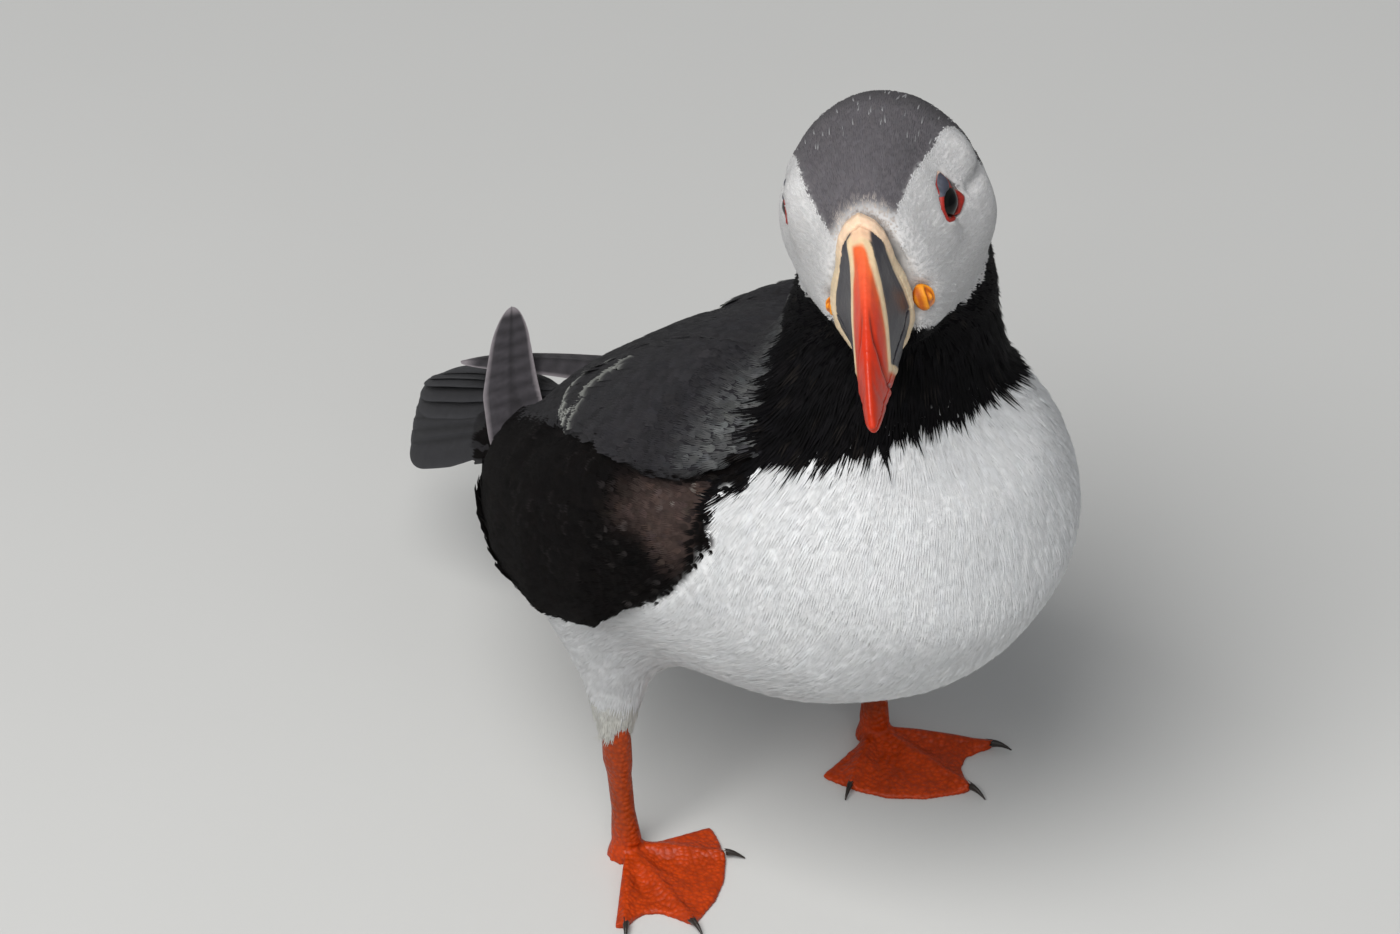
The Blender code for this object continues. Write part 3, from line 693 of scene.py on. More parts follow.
# one tuft: a short web that splits into pointed fingers
def tuftShape(fingers, split, rows=3, root=0.3):
    along, across, tris = [], [], []
    lines = fingers + 1
    for r in range(rows):
        t = split * r / (rows - 1)
        wide = root + (1 - root) * math.sin(math.pi / 2 * min(1, t / split))
        for c in range(lines):
            along.append(t)
            across.append((2 * c / fingers - 1) * wide)
    for r in range(rows - 1):
        for c in range(fingers):
            a = r * lines + c
            tris += [(a, a + 1, a + lines + 1), (a, a + lines + 1, a + lines)]
    last = (rows - 1) * lines
    for c in range(fingers):
        mid = (2 * c + 1) / fingers - 1
        along.append(1.0 - 0.22 * mid * mid)
        across.append(mid * 1.02)
        tris.append((last + c, last + c + 1, len(along) - 1))
    return {"along": np.array(along), "across": np.array(across), "tris": np.array(tris),
            "tip": np.arange(len(along)) >= rows * lines}


def followSkin(places, lies, step):  # a point further along the coat, back on the skin
    hits = [skinTree.find_nearest(p)[:3] for p in (places + lies * step[:, None]).tolist()]
    spots, ups, ways = zip(*hits)
    return np.array(spots), unit(np.array(ups)), triLie[np.array(ways)]


# what a tuft is unless its own look says otherwise: angles in degrees, lengths in millimetres
plainLook = {"uneven": 0.15, "ruffle": 0.4, "stray": 7, "ragged": 0.12, "splay": 0.12, "roll": 8,
             "root": -0.35, "camber": 0.1, "soft": 0, "rootShade": 0.75, "fringe": 0.7, "fringeStep": 0.2,
             "fringeSide": 0.6}
patchHalf = {"across": 0.0014, "along": 0.0028}


def layCoat(title, roots, shape, ownLook, tones, fringe=None):
    look = plainLook | ownLook
    n = len(roots["place"])
    count = len(shape["along"])
    length = look["length"] * (1 + look["uneven"] * dice.uniform(-1, 1, n))
    width = look["width"] * (1 + 0.15 * dice.uniform(-1, 1, n))
    lift = look["lift"] * (1 + look["ruffle"] * dice.uniform(-1, 1, n))
    turn = np.radians(look["stray"]) * dice.normal(0, 1, n)
    p0, up0 = roots["place"], roots["normal"]
    side0 = np.cross(up0, roots["lie"])
    lie0 = unit(roots["lie"] * np.cos(turn)[:, None] + side0 * np.sin(turn)[:, None])
    p1, up1, lie1 = followSkin(p0, lie0, length / 2)
    p2, up2 = followSkin(p1, unit(unit(p1 - p0) + lie1 * 0.6), length / 2)[:2]
    if "hang" in look:  # what stands free of the skin at an edge
        free = look["hang"][:, None]
        p1 = blend(p1, p0 + lie0 * length[:, None] / 2, free)
        p2 = blend(p2, p0 + lie0 * length[:, None], free)
        up1 = unit(blend(up1, up0, free))
        up2 = unit(blend(up2, up0, free))
    up1 = unit(up0 + up1 * 2)
    up2 = unit(up1 + up2 * 1.5)
    shake = dice.uniform(-1, 1, (n, count)) * shape["tip"]
    t = shape["along"][None, :] + shake * look["ragged"]
    s = shape["across"][None, :] + dice.uniform(-1, 1, shake.shape) * shape["tip"] * look["splay"]
    t3 = t[:, :, None]
    w0 = (1 - t3) * (1 - 2 * t3)
    w1 = 4 * t3 * (1 - t3)
    w2 = t3 * (2 * t3 - 1)
    line = p0[:, None] * w0 + p1[:, None] * w1 + p2[:, None] * w2
    ups = unit(blend(up0[:, None], up2[:, None], t3))
    way = blend(unit(p1 - p0)[:, None], unit(p2 - p1 + 1e-6)[:, None], t3)
    side = unit(np.cross(ups, way))
    roll = np.radians(look["roll"]) * dice.normal(0, 1, n)
    side = side * np.cos(roll)[:, None, None] + ups * np.sin(roll)[:, None, None]
    high = look["root"] + (lift[:, None] - look["root"]) * np.sin(np.pi / 2 * np.clip(t, 0, 1))
    high = high - look["camber"] * width[:, None] * s ** 2
    points = line + ups * high[:, :, None] + side * (s * width[:, None] / 2)[:, :, None]
    tris = (shape["tris"][None, :, ::-1] + (np.arange(n) * count)[:, None, None]).reshape(-1, 3)
    obj = newMesh(title, points.reshape(-1, 3), tris)
    if look["soft"]:  # shaded more by the body's form than by each plume's own tilt
        mixed = unit(blend(normalsOf(obj), ups.reshape(-1, 3), look["soft"]))
        obj.data.normals_split_custom_set_from_vertices(mixed.tolist())
    shade = look["rootShade"] + (1 - look["rootShade"]) * np.clip(t * 1.6, 0, 1)
    colour = np.repeat(tones[:, None, :], count, 1) * shade[:, :, None]
    if fringe is not None:
        tips = ease(t + 0.1 * s ** 2 * t, look["fringe"], look["fringe"] + look["fringeStep"])
        sides = look["fringeSide"] * ease(np.abs(s), 0.7, 1.0) * (t > 0.3)
        colour = blend(colour, fringe[:, None, :], np.clip(tips + sides, 0, 1)[:, :, None])
    paintPoints(obj, colour.reshape(-1, 3))
    flat = np.zeros((n, count, 3))
    flat[:, :, 0] = s * width[:, None] / 2
    flat[:, :, 1] = t * length[:, None] - np.abs(s) * width[:, None] * 0.5
    flat[:, :, 2] = dice.random(n)[:, None] * 5
    patch = np.stack((s * patchHalf["across"], (t - 0.5) * patchHalf["along"]), 2) + roots["uv"][:, None, :]
    addVaneMaps(obj, tris, flat, patch)
    print("  ", title, n, "plumes", len(tris), "triangles")
    return obj


def tipCodes(roots, reach):  # the marking that lies under each plume's tip
    tips = roots["place"] + roots["lie"] * reach
    return np.array([triCode[skinTree.find_nearest(p)[2]] for p in tips.tolist()])


def wingGap(roots, reach):  # how near each plume's tip comes to the wing
    return gapTo(wingTree, roots["place"] + roots["lie"] * reach, 4.0)


def speckle(n, base, spread, warm=0.0):
    light = 1 + spread * dice.normal(0, 1, n)
    tint = np.stack((1 + warm * dice.normal(0, 1, n), np.ones(n), 1 - warm * dice.normal(0, 1, n)), 1)
    return np.clip(base * light[:, None] * tint, 0.002, 0.95)


def evenly(spacing):
    return np.full(len(triArea), spacing)


def rowsOf(colour, n):
    return np.repeat(colour[None], n, 0)


# the coat, one marking at a time
headSkin = (triPart == headPart) & (toHead(triMid)[:, 2] > -18)


def lidAhead(roots, gap):  # whether a plume points at the lids
    return eyeGap(roots["place"] + roots["lie"] * 0.6) < gap


def fromBorder(s, f):  # from the edge of the crown's patch
    return np.abs(np.abs(s) - crownHalf(s, f))


def layFace():
    look = {"width": 1.0, "lift": 0.13, "root": -0.12, "ragged": 0.15, "rootShade": 0.99, "stray": 7,
            "roll": 2, "ruffle": 0.3, "soft": 0.95}
    roots = scatterRoots(headSkin, evenly(0.54))
    roots = trimRoots(roots, roots["code"] == face)
    f = toHead(roots["place"])[:, 1]
    gap = eyeGap(roots["place"])
    roots = trimRoots(roots, (gap > np.where(lidAhead(roots, gap), 1.08, 1.03)) & (f < 4))
    gap = eyeGap(roots["place"])
    length = 2.9 * (0.4 + 0.6 * ease(gap, 1.0, 1.8))
    room = np.maximum((gap - 1) * 4.4 + 0.3, 0.5)
    length = np.where(lidAhead(roots, gap), np.minimum(length, room), length)
    s, f, u = toHead(roots["place"]).T
    base = rowsOf(codeTones[face], len(gap)) * (1 - ease(-u, -2, 14) * 0.1)[:, None]
    tones = speckle(len(gap), base, 0.02, 0.006)
    length = np.minimum(length, 1.4 + np.maximum(-f, 0) * 0.6)
    look["length"] = length * (0.5 + 0.5 * ease(fromBorder(s, f) + 9 * (u < 8), 0.2, 2.2))
    return layCoat("coat_face", roots, tuftShape(2, 0.5, 2), look, tones)


def layCrown():
    look = {"root": -0.15, "ragged": 0.18, "rootShade": 0.88, "stray": 7, "roll": 3, "ruffle": 0.35,
            "soft": 0.9}
    roots = scatterRoots(headSkin, np.where(toHead(triMid)[:, 1] > -7, 0.5, 0.66))
    roots = trimRoots(roots, (roots["code"] == crown) & (toHead(roots["place"])[:, 1] < -0.5))
    s, f, u = toHead(roots["place"]).T
    n = len(s)
    base = rowsOf(codeTones[crown], n) * (1 - 0.45 * ease(-f, 24, 34)[:, None])
    base = base * (1 + 0.12 * ease(f, -14, -4))[:, None]
    rim = 0.9 * (ease(f + dice.normal(0, 0.2, n), -4.0, -0.6) ** 1.6)
    tones = speckle(n, blend(base, tone(208, 198, 190), rim), 0.04, 0.01)
    glint = (dice.random(n) < 0.05) & (f < -18) & (u > 14)
    tones[glint] = tone(150, 150, 152)
    tones = blend(tones, tone(20, 19, 21), ease(-u + dice.normal(0, 0.8, n), -9, 3))
    fine = ease(f, -7, -3)
    length = 3.0 * (0.55 + 0.45 * ease(-f, 1, 6)) * (0.5 + 0.5 * ease(fromBorder(s, f), 0.2, 2.2))
    look["length"] = length * (1 + 0.35 * fine * dice.uniform(-1, 1, n))
    look["width"] = np.where(glint, 0.3, 0.85 - 0.22 * fine)
    look["lift"] = 0.2 - 0.08 * fine + 0.1 * glint
    return layCoat("coat_crown", roots, tuftShape(2, 0.45, 2), look, tones)


def layCollar():
    look = {"root": -0.3, "ragged": 0.22, "splay": 0.25, "rootShade": 0.5, "stray": 10, "roll": 14,
            "uneven": 0.35, "ruffle": 0.7, "soft": 0.5}
    roots = scatterRoots(triCode == collar, evenly(0.95))
    f, u = toHead(roots["place"])[:, 1:].T
    roots = trimRoots(roots, ((f < -6) | (u < -8)) & ((f < -1.2) | (u < -17)))
    n = len(roots["place"])
    tones = speckle(n, codeTones[collar], 0.25, 0.03)
    tones[dice.random(n) < 0.05] = tone(28, 25, 24)
    near = ease(-toHead(roots["place"])[:, 2], 14, 24)
    # the black tufts of the painted shadow by the wing are kept short
    short = 1 - 0.7 * (1 - ease(wingGap(roots, 3), 0.5, 3.5)) * (roots["place"][:, 2] < 131)
    look["length"] = (4.0 + 3.6 * near) * short
    look["width"] = 1.5 + 0.5 * near
    look["lift"] = (0.4 + 0.5 * near) * short
    return layCoat("coat_collar", roots, tuftShape(3, 0.35), look, tones)


def layWhite():
    look = {"root": -0.4, "ragged": 0.16, "splay": 0.15, "rootShade": 0.97, "stray": 6, "roll": 4,
            "uneven": 0.25, "ruffle": 0.5, "soft": 0.7}
    roots = scatterRoots((triCode == white) | (triCode == leg), evenly(1.02))
    y = roots["place"][:, 1] - bodyShift[1]
    pieces = []
    for lo, hi, title in ((-999, -45, "coat_breast"), (-45, -5, "coat_belly"), (-5, 999, "coat_flank")):
        part = trimRoots(roots, (y >= lo) & (y < hi))
        height = part["place"][:, 2]
        base = np.where((part["code"] == leg)[:, None], codeTones[leg], codeTones[white])
        # painted shade: the white is painted up to a fifth darker low on the belly, for the shade under the
        # body
        low = ease(-height, -84, -58) * (part["place"][:, 1] - bodyShift[1] > -60)
        tones = speckle(len(height), base * (1 - 0.2 * low)[:, None], 0.012, 0.004)
        small = part["part"] == thighPart
        short = 1 - 0.8 * (1 - ease(wingGap(part, 2.5), 0.8, 3.8)) * (height < 126)
        tips = tipCodes(part, 5.0)
        short = np.where((tips == mantle) | (tips == wing), np.minimum(short, 0.35), short)
        look["length"] = np.where(small, 5.0, 7.5) * short
        look["width"] = np.where(small, 1.6, 2.1) * (0.4 + 0.6 * short)
        look["lift"] = 0.5 * short ** 0.7
        look["hang"] = small * ease(-height, -44, -36) * 0.8
        pieces.append(layCoat(title, part, tuftShape(4, 0.45, 2), look, tones))
    return pieces


shortTuft = tuftShape(4, 0.5, 2)
softVane = tuftShape(6, 0.74, 3)
vaneLook = {"rootShade": 0.85, "stray": 5, "roll": 3, "camber": 0.08, "ragged": 0.08, "splay": 0.1,
            "fringe": 0.75}


def splitRoots(code, line, spacing, blur, here=True):  # finer before this line than behind it
    y = triMid[:, 1] - bodyShift[1]
    roots = scatterRoots((triCode == code) & here, np.where(y < line[0], spacing[0], spacing[1]))
    n = len(roots["place"])
    fore = roots["place"][:, 1] - bodyShift[1] < line[1] + dice.uniform(-blur, blur, n)
    return trimRoots(roots, fore), trimRoots(roots, ~fore)


def layMantle():
    foreLook = {"length": 4.6, "width": 1.7, "lift": 0.4, "stray": 7, "roll": 5, "ruffle": 0.5,
                "ragged": 0.2, "splay": 0.2, "soft": 0.75}
    pieces = []
    for k, part in enumerate(splitRoots(mantle, (-12, -14), (1.05, 1.35), 3)):
        n = len(part["place"])
        x, y, z = bodyPlaces(part["place"])
        base = rowsOf(codeTones[mantle], n) * (1 - 0.3 * ease(y, -10, 30))[:, None]
        # painted sheen: pale bluish-grey flecks on the top front of the mantle, where the light from above
        # catches the tips
        paintedSheen = ease(-y, 20, 34) * ease(z, 120, 131) * (0.2 + 0.65 * dice.random(n))
        tones = speckle(n, blend(base, tone(104, 106, 106), paintedSheen), 0.12, 0.015)
        edge = (np.abs(x) > 24) * (lobeOver(part["place"]) < 5.5) * ease(-y, -30, -22) * ease(y, -27, -18)
        if k == 0:
            look = foreLook | {"hang": edge * 0.75}
            pieces.append(layCoat("coat_shoulders", part, shortTuft, look, tones))
        else:
            back = ease(y, -20, 30)
            length = (6.5 + 4.0 * back) * np.where(tipCodes(part, 7.0) == white, 0.5, 1)
            look = vaneLook | {"length": length, "width": 2.8 + 1.4 * back, "lift": 0.4, "ruffle": 0.3,
                               "soft": 0.8, "hang": np.maximum(edge, ease(y, 50, 58)) * 0.6}
            pieces.append(layCoat("coat_back", part, softVane, look, tones, fringe=tones * 1.3))
    return pieces


def layWing(side):
    wristLook = {"lift": 0.4, "root": -0.3, "rootShade": 0.8, "stray": 6, "roll": 5, "ruffle": 0.5,
                 "ragged": 0.18, "splay": 0.15, "soft": 0.6}
    sign = -1 if side == "right" else 1
    pieces = []
    for k, part in enumerate(splitRoots(wing, (-6, -8), (1.15, 1.35), 4, triMid[:, 0] * sign > 0)):
        n = len(part["place"])
        x, y, z = bodyPlaces(part["place"])
        back = ease(y, -30, 40)
        over = lobeOver(part["place"])
        tones = speckle(n, wingTone(part["place"]), 0.16, 0.03)
        fleck = (dice.random(n) < 0.14) & (z > 86) & (y < 36)
        tint = tones + tone(44, 41, 41) * (0.3 + 0.7 * dice.random(n))[:, None]
        if k == 0:
            speck = (dice.random(n) < 0.2) & (y < -26) & (y > -34) & (over > -8) & (over < -3)
            tones = np.where((fleck & (dice.random(n) < 0.4))[:, None], tint, tones)
            tones[speck] = tone(112, 106, 101)
            onWhite = tipCodes(part, 4.0) == white
            length = (4.2 + 2.5 * back) * np.where(speck, 0.6, 1) * np.where(onWhite, 0.55, 1)
            look = wristLook | {"length": length, "width": np.where(speck, 0.9, 1.6)}
            pieces.append(layCoat("coat_wrist_" + side, part, shortTuft, look, tones))
        else:
            rim = np.where(fleck[:, None], tint, tones * 1.12)
            length = (5.5 + 5.0 * back) * np.where(tipCodes(part, 7.0) == white, 0.45, 1)
            look = vaneLook | {"length": length, "width": 2.5 + 1.2 * back, "lift": 0.36, "root": -0.3,
                               "ruffle": 0.35, "soft": 0.7, "hang": ease(y, 50, 58) * 0.6}
            pieces.append(layCoat("coat_wing_" + side, part, softVane, look, tones, fringe=rim))
    return pieces


# the pale tips of the shoulder's last feathers, as stops along each row
tipRows = {"outer": ((-16, 30, 112), (-19.5, 33.5, 107.5), (-24.0, 34.5, 103.5), (-28.7, 30.5, 101.5),
                     (-33.1, 22, 105.5)),
           "inner": ((-23, 17, 119), (-26.6, 21.2, 113.9), (-29.2, 23.5, 109.8), (-32.5, 20.0, 107.6)),
           "step": 1.5, "pale": tone(170, 172, 166), "strength": {"outer": 1.0, "inner": 0.75}}


def layTertials():
    look = {"length": 11, "width": 4.8, "lift": 0.75, "root": -0.2, "rootShade": 0.9, "stray": 5, "roll": 3,
            "camber": 0.06, "ruffle": 0.2, "uneven": 0.1, "fringe": 0.66, "fringeStep": 0.3,
            "fringeSide": 0.0, "ragged": 0.1, "splay": 0.12, "soft": 0.85}
    tips, weights = [], []
    for row, weight in tipRows["strength"].items():
        stops = np.array(tipRows[row], float)
        run = np.concatenate(([0], np.cumsum(np.linalg.norm(np.diff(stops, axis=0), axis=1))))
        for at in np.arange(0, run[-1], tipRows["step"]):
            x, y, z = (np.interp(at, run, stops[:, k]) for k in range(3))
            tips += [spot(x, y, z), spot(-x, y, z)]
            weights += [weight, weight]
    roots = {"place": [], "normal": [], "lie": [], "uv": []}
    for tip in tips:
        hit = skinTree.find_nearest(tip)
        root = skinTree.find_nearest(np.array(hit[0]) - triLie[hit[2]] * look["length"])
        place, up = np.array(root[0]), np.array(root[1])
        aim = np.array(hit[0]) - place
        for key, value in (("place", place), ("normal", up), ("lie", unit(aim - up * (aim @ up))),
                           ("uv", skinUv[root[2]].mean(0))):
            roots[key].append(value)
    roots = {k: np.array(v) for k, v in roots.items()}
    tones = speckle(len(tips), codeTones[mantle], 0.05)
    rim = tipRows["pale"] * np.array(weights)[:, None]
    return layCoat("tertials", roots, tuftShape(8, 0.84, 7), look, tones, fringe=rim)


settle(skin, plumageMaterial("skin_under_coat", 0.85, 0.0, 0.0, 0.08, 0.02), fleshNames)
settle(layFace(), palePlumage)
settle(layCrown(), crownPlumage)
settle(layCollar(), blackPlumage)
for piece in layWhite():
    settle(piece, whitePlumage)
for piece in layMantle():
    settle(piece, slatePlumage)
for sideName in ("right", "left"):
    for piece in layWing(sideName):
        settle(piece, wingPlumage)
settle(layTertials(), slatePlumage)
print("coat laid")


# long quills of wing tips and tail, each a vane along its own line
quill = {"rows": 44, "lines": 11, "narrow": 0.96, "shaft": 0.3, "lead": 0.0, "barStep": 4.0, "edgeFrom": 0.7,
         "stops": (0, 0.12, 0.35, 0.55, 1.0), "widths": (0.2, 0.5, 0.85, 1.0)}


def quillMesh(title, quills):
    allPoints, allTris, allTones, allVane, allUv = [], [], [], [], []
    rows, lines = quill["rows"], quill["lines"]
    t = 1 - (1 - np.linspace(0, 1, rows)) ** 1.4
    v = np.linspace(-1, 1, lines)
    tris = gridTriangles(np.arange(rows * lines).reshape(rows, lines))
    for k, own in enumerate(quills):
        q = quill | own
        line = q["line"](t)
        way = unit(np.gradient(line, axis=0))
        side = unit(q["side"] - way * (way @ q["side"])[:, None])
        up = np.cross(side, way)
        blunt = np.sqrt(np.clip(1 - (np.clip(t - q["taper"], 0, 1) / (1 - q["taper"])) ** 2, 0.004, 1))
        full = (q["width"] * np.interp(t, q["stops"], q["widths"] + (q["narrow"],)) * blunt)[:, None]
        across = v[None, :] + q["lead"] * (1 - v[None, :] ** 2)
        camber = q["camber"] * full * (1 - v[None, :] ** 2)
        shaft = np.where(np.abs(v) < 0.01, q["shaft"], 0.0)[None, :]
        points = line[:, None] + side[:, None] * (across * full / 2)[:, :, None]
        allPoints.append((points + up[:, None] * (camber + shaft)[:, :, None]).reshape(-1, 3))
        length = np.linalg.norm(line[-1] - line[0])
        along = t[:, None] * length
        bars = 0.5 + 0.5 * np.sin((along - np.abs(v)[None, :] * 1.5) * 2 * math.pi / q["barStep"])
        base = np.broadcast_to(q["tone"], (rows, lines, 3)) * (1 - q["bars"] * bars[:, :, None])
        edges = ease(np.abs(v), q["edgeFrom"], 1.0)[None, :] * (0.4 + 0.6 * t[:, None])
        rim = np.maximum(edges, ease(t, 0.93, 1.0)[:, None])[:, :, None]
        base = base * (1 - rim * q["edge"]) + q["edgeTone"] * rim * q["edge"]
        base[:, lines // 2] *= 0.6
        allTris.append(tris + k * rows * lines)
        allTones.append(base.reshape(-1, 3))
        vane = np.zeros((rows, lines, 3))
        vane[:, :, 0] = v[None, :] * full / 2
        vane[:, :, 1] = along - np.abs(vane[:, :, 0]) * 1.1
        allVane.append(vane.reshape(-1, 3))
        patch = np.zeros((rows, lines, 2))
        patch[:, :, 0] = v[None, :] * patchHalf["across"]
        patch[:, :, 1] = (t[:, None] - 0.5) * patchHalf["along"]
        root = skinTree.find_nearest(line[0])
        allUv.append(patch.reshape(-1, 2) + skinUv[root[2]].mean(0))
    tris = np.concatenate(allTris)
    obj = newMesh(title, np.concatenate(allPoints), tris)
    paintPoints(obj, np.concatenate(allTones))
    addVaneMaps(obj, tris, np.concatenate(allVane), np.concatenate(allUv))
    print("  ", title, len(quills), "quills", len(tris), "triangles")
    return obj


def bowed(start, end, sag):
    def line(t):
        t = t[:, None]
        return start * (1 - t) + end * t + sag * (4 * t * (1 - t))
    return line


wingTips = {"right": {"base": spot(-17, 60, 71.5), "tip": spot(5, 88, 80.5), "roll": -20},
            "left": {"base": spot(18, 59, 73), "tip": spot(-10, 88, 72), "roll": 10}}
primary = {"count": 6, "width": 13.0, "narrower": 0.1, "bow": 2.5, "shorter": 0.42, "fan": 1.5, "step": 0.9,
           "inside": 0.45, "rootFan": 3, "sunk": 3.5,
           "own": {"camber": 0.08, "tone": tone(66, 63, 67), "edgeTone": tone(150, 143, 147), "edge": 1.0,
                   "edgeFrom": 0.78, "bars": 0.45, "lead": 0.12, "taper": 0.8, "narrow": 0.5}}


def layPrimaries(side):
    tip = wingTips[side]
    axis = tip["tip"] - tip["base"]
    turn = Matrix.Rotation(math.radians(tip["roll"]), 3, Vector(unit(axis)))
    across = np.array(turn @ Vector(unit(np.cross(axis, (0, 0, 1)))))
    up = unit(np.cross(across, axis))
    quills = []
    for k in range(primary["count"]):
        share = k / (primary["count"] - 1)
        end = tip["tip"] - axis * (primary["shorter"] * share) + across * (share * primary["fan"])
        end = end - up * (primary["step"] * share) + up * 1.0
        start = tip["base"] - axis * primary["inside"] + across * (share - 0.5) * primary["rootFan"]
        start = start - up * (primary["step"] * share + primary["sunk"])
        quills.append(primary["own"] | {"line": bowed(start, end, up * primary["bow"]), "side": across,
                                        "width": primary["width"] * (0.98 - primary["narrower"] * share)})
    return quillMesh("primaries_" + side, quills)


tailFan = {"base": spot(0, 76, 71), "tip": spot(0, 111.5, 50), "droop": 52, "count": 13, "half": 19.5,
           "rounded": 0.19, "sunk": 4, "rootFan": 0.68, "roof": 3, "layer": 0.8, "lift": 0.9,
           "own": {"width": 12.5, "camber": 0.06, "tone": tone(46, 46, 49), "edgeTone": tone(66, 66, 70),
                   "edge": 0.5, "bars": 0.08, "taper": 0.78, "shaft": 0.12}}


def layTail():
    droop = math.radians(tailFan["droop"])
    axis = tailFan["tip"] - tailFan["base"]
    half = (tailFan["count"] - 1) / 2
    quills = []
    for k in sorted(range(tailFan["count"]), key=lambda k: -abs(k - half)):  # the middle one on top
        u = 2 * k / (tailFan["count"] - 1) - 1

        def place(v, u=u):
            spread = tailFan["rootFan"] + (1 - tailFan["rootFan"]) * math.sin(math.pi * 0.7 * min(v, 1))
            side = u * tailFan["half"] * spread
            fall = (math.hypot(side, tailFan["roof"]) - tailFan["roof"]) * math.sin(droop)
            reach = 1 - tailFan["rounded"] * u * u
            drop = -fall + tailFan["lift"] - abs(u) * tailFan["layer"]
            return tailFan["base"] + axis * v * reach + np.array((side * math.cos(droop), 0, drop))

        start, mid, end = place(-0.25) - (0, 0, tailFan["sunk"]), place(0.4), place(1.0)
        sag = mid - (start + end) / 2
        lean = droop * min(1, abs(u) * 2.5)
        side = np.array((math.cos(lean), 0, -math.copysign(math.sin(lean), u) if u else 0))
        quills.append(tailFan["own"] | {"line": bowed(start, end, sag * 0.8), "side": side})
    return quillMesh("tail_quills", quills)


for sideName in ("right", "left"):
    settle(layPrimaries(sideName), quillPlumage, ["wing_" + sideName])
settle(layTail(), quillPlumage, ["tail"])
print("quills laid")


# horn of the bill
def hornMaterial(name, rough, coat, bump):
    mat, tree, shader = startMaterial(name)
    tree.links.new(mottle(tree, paintedTone(tree), 0.08, 420), shader.inputs["Base Color"])
    setInputs(shader, {"Roughness": rough, "Coat Weight": coat, "Coat Roughness": 0.35,
                       "Specular IOR Level": 0.3, "Subsurface Weight": 0.1,
                       "Subsurface Radius": (1.0, 0.5, 0.3), "Subsurface Scale": 0.001})
    coord = tree.nodes.new("ShaderNodeTexCoord")
    grain = tree.nodes.new("ShaderNodeTexNoise")
    setInputs(grain, {"Scale": 900, "Detail": 5})
    link(tree, coord, "Object", grain, "Vector")
    addBump(tree, shader, grain.outputs["Fac"], bump)
    return mat


billHorn = hornMaterial("bill_horn", 0.42, 0.15, 0.00012)
rimHorn = hornMaterial("rim_horn", 0.6, 0.05, 0.00025)

# the bill's bands, each as stops (up, forward) along its line
bill = {"voxel": 0.34,
        "creamLeft": ((-14, 6), (-10, 12), (-5, 19), (-0.7, 24.5), (1.3, 22.9), (5.1, 19.5), (9.4, 16),
                      (13.2, 13.2), (16.4, 10.4), (18.8, 6.8)),
        "creamRight": ((-14, 6), (-10, 12), (-5, 19), (-0.7, 25), (1.3, 23.6), (3.8, 20.8), (6.6, 17.4),
                       (10.3, 13.6), (14.6, 9.6), (17.6, 5.5)),
        "rim": ((-14, 2.5), (-6, 3.2), (1.9, 3.8), (6.8, 4.2), (11.8, 4.2), (16.1, 3.6), (19.3, 2.6)),
        "groove": ((-10, 19), (-2.4, 28.4), (1.9, 28.8), (7.2, 26.6), (12.6, 21.3), (15.5, 16.0), (19, 10)),
        "cream": tone(222, 196, 158), "slate": tone(56, 55, 61), "red": tone(218, 50, 22),
        "top": tone(227, 98, 60), "low": tone(186, 44, 10), "orange": tone(220, 104, 46),
        "culmen": tone(228, 190, 158), "edge": tone(214, 192, 160)}
baseForm = {"height": (-14, 0, 6, 10, 14, 17, 19.5), "spread": (0, 0, -0.04, -0.08, 0.02, 0.22, 0.28),
            "shift": -1.1}


def byHeight(band, u):
    heights, reach = np.array(bill[band]).T
    return np.interp(u, heights, reach)


def warpBase(points):  # the base is an arch, narrow above and wide at the gape
    h = toHead(points)
    near = 1 - ease(h[:, 1], 4, 22)
    h[:, 0] *= 1 + np.interp(h[:, 2], baseForm["height"], baseForm["spread"]) * near
    h[:, 0] += baseForm["shift"] * (1 - ease(h[:, 1], 0, 12))
    return fromHead(h)


def shapeBill(name, title):
    obj = meltNodes([name], title, bill["voxel"], 0, 3)
    points, normals = pointsOf(obj), normalsOf(obj)
    s, f, u = toHead(points).T
    wide = np.abs(s)
    leftShare = ease(s, -1.5, 1.5)
    cream = byHeight("creamLeft", u) * leftShare + byHeight("creamRight", u) * (1 - leftShare)
    offCream = (f - cream) * 0.75
    offRim = (f - (byHeight("rim", u) - 0.8 * (1 - leftShare))) * 0.9
    offGroove = (f - byHeight("groove", u)) * 0.8
    ridge = (1 - ease(wide, 1.2, 1.9)) * (u > 5)
    lift = 0.22 * bell(offCream, 0.9) * (1 - ridge)
    lift = lift - 0.5 * bell(offGroove, 0.6) * ease(wide, 0.5, 1.5)
    lift = lift + 0.2 * bell(offGroove - 1.5, 0.8) * ease(wide, 0.3, 1.3)
    lift = lift - 0.15 * bell(offGroove - 5.0, 0.7) * ease(wide, 0.5, 1.3)
    lift = lift + 0.25 * (1 - ease(offRim, -0.4, 0.8))
    lift = lift - 0.15 * ease(offRim, 0.6, 2.0) * (1 - ease(offCream, -2.0, -0.6))
    movePoints(obj, warpBase(points + normals * lift[:, None]))
    red = blend(bill["red"], bill["low"], ease(f, 8, 40))
    red = blend(red, bill["top"], (1 - ease(wide, 0.8, 2.6)) * (1 - ease(f, 8, 30)))
    red = blend(red, bill["orange"], bell(offCream - 1.0, 1.6) * 0.8)
    # painted shade: the red is darker along the groove that is cut into the horn
    red = red * (1 - 0.55 * (bell(offGroove, 0.7) * ease(wide, 0.3, 1.3)))[:, None]
    colour = blend(bill["slate"], bill["cream"], ease(offCream, -0.95, -0.5))
    colour = blend(colour, red, ease(offCream, 0.7, 1.8))
    colour = blend(colour, bill["culmen"], ridge * (1 - ease(f, 5.8, 6.8)))
    paintPoints(obj, blend(colour, bill["edge"], 1 - ease(offRim, -0.3, 0.3)))
    shadeSmooth(obj)
    settle(obj, billHorn, [name])


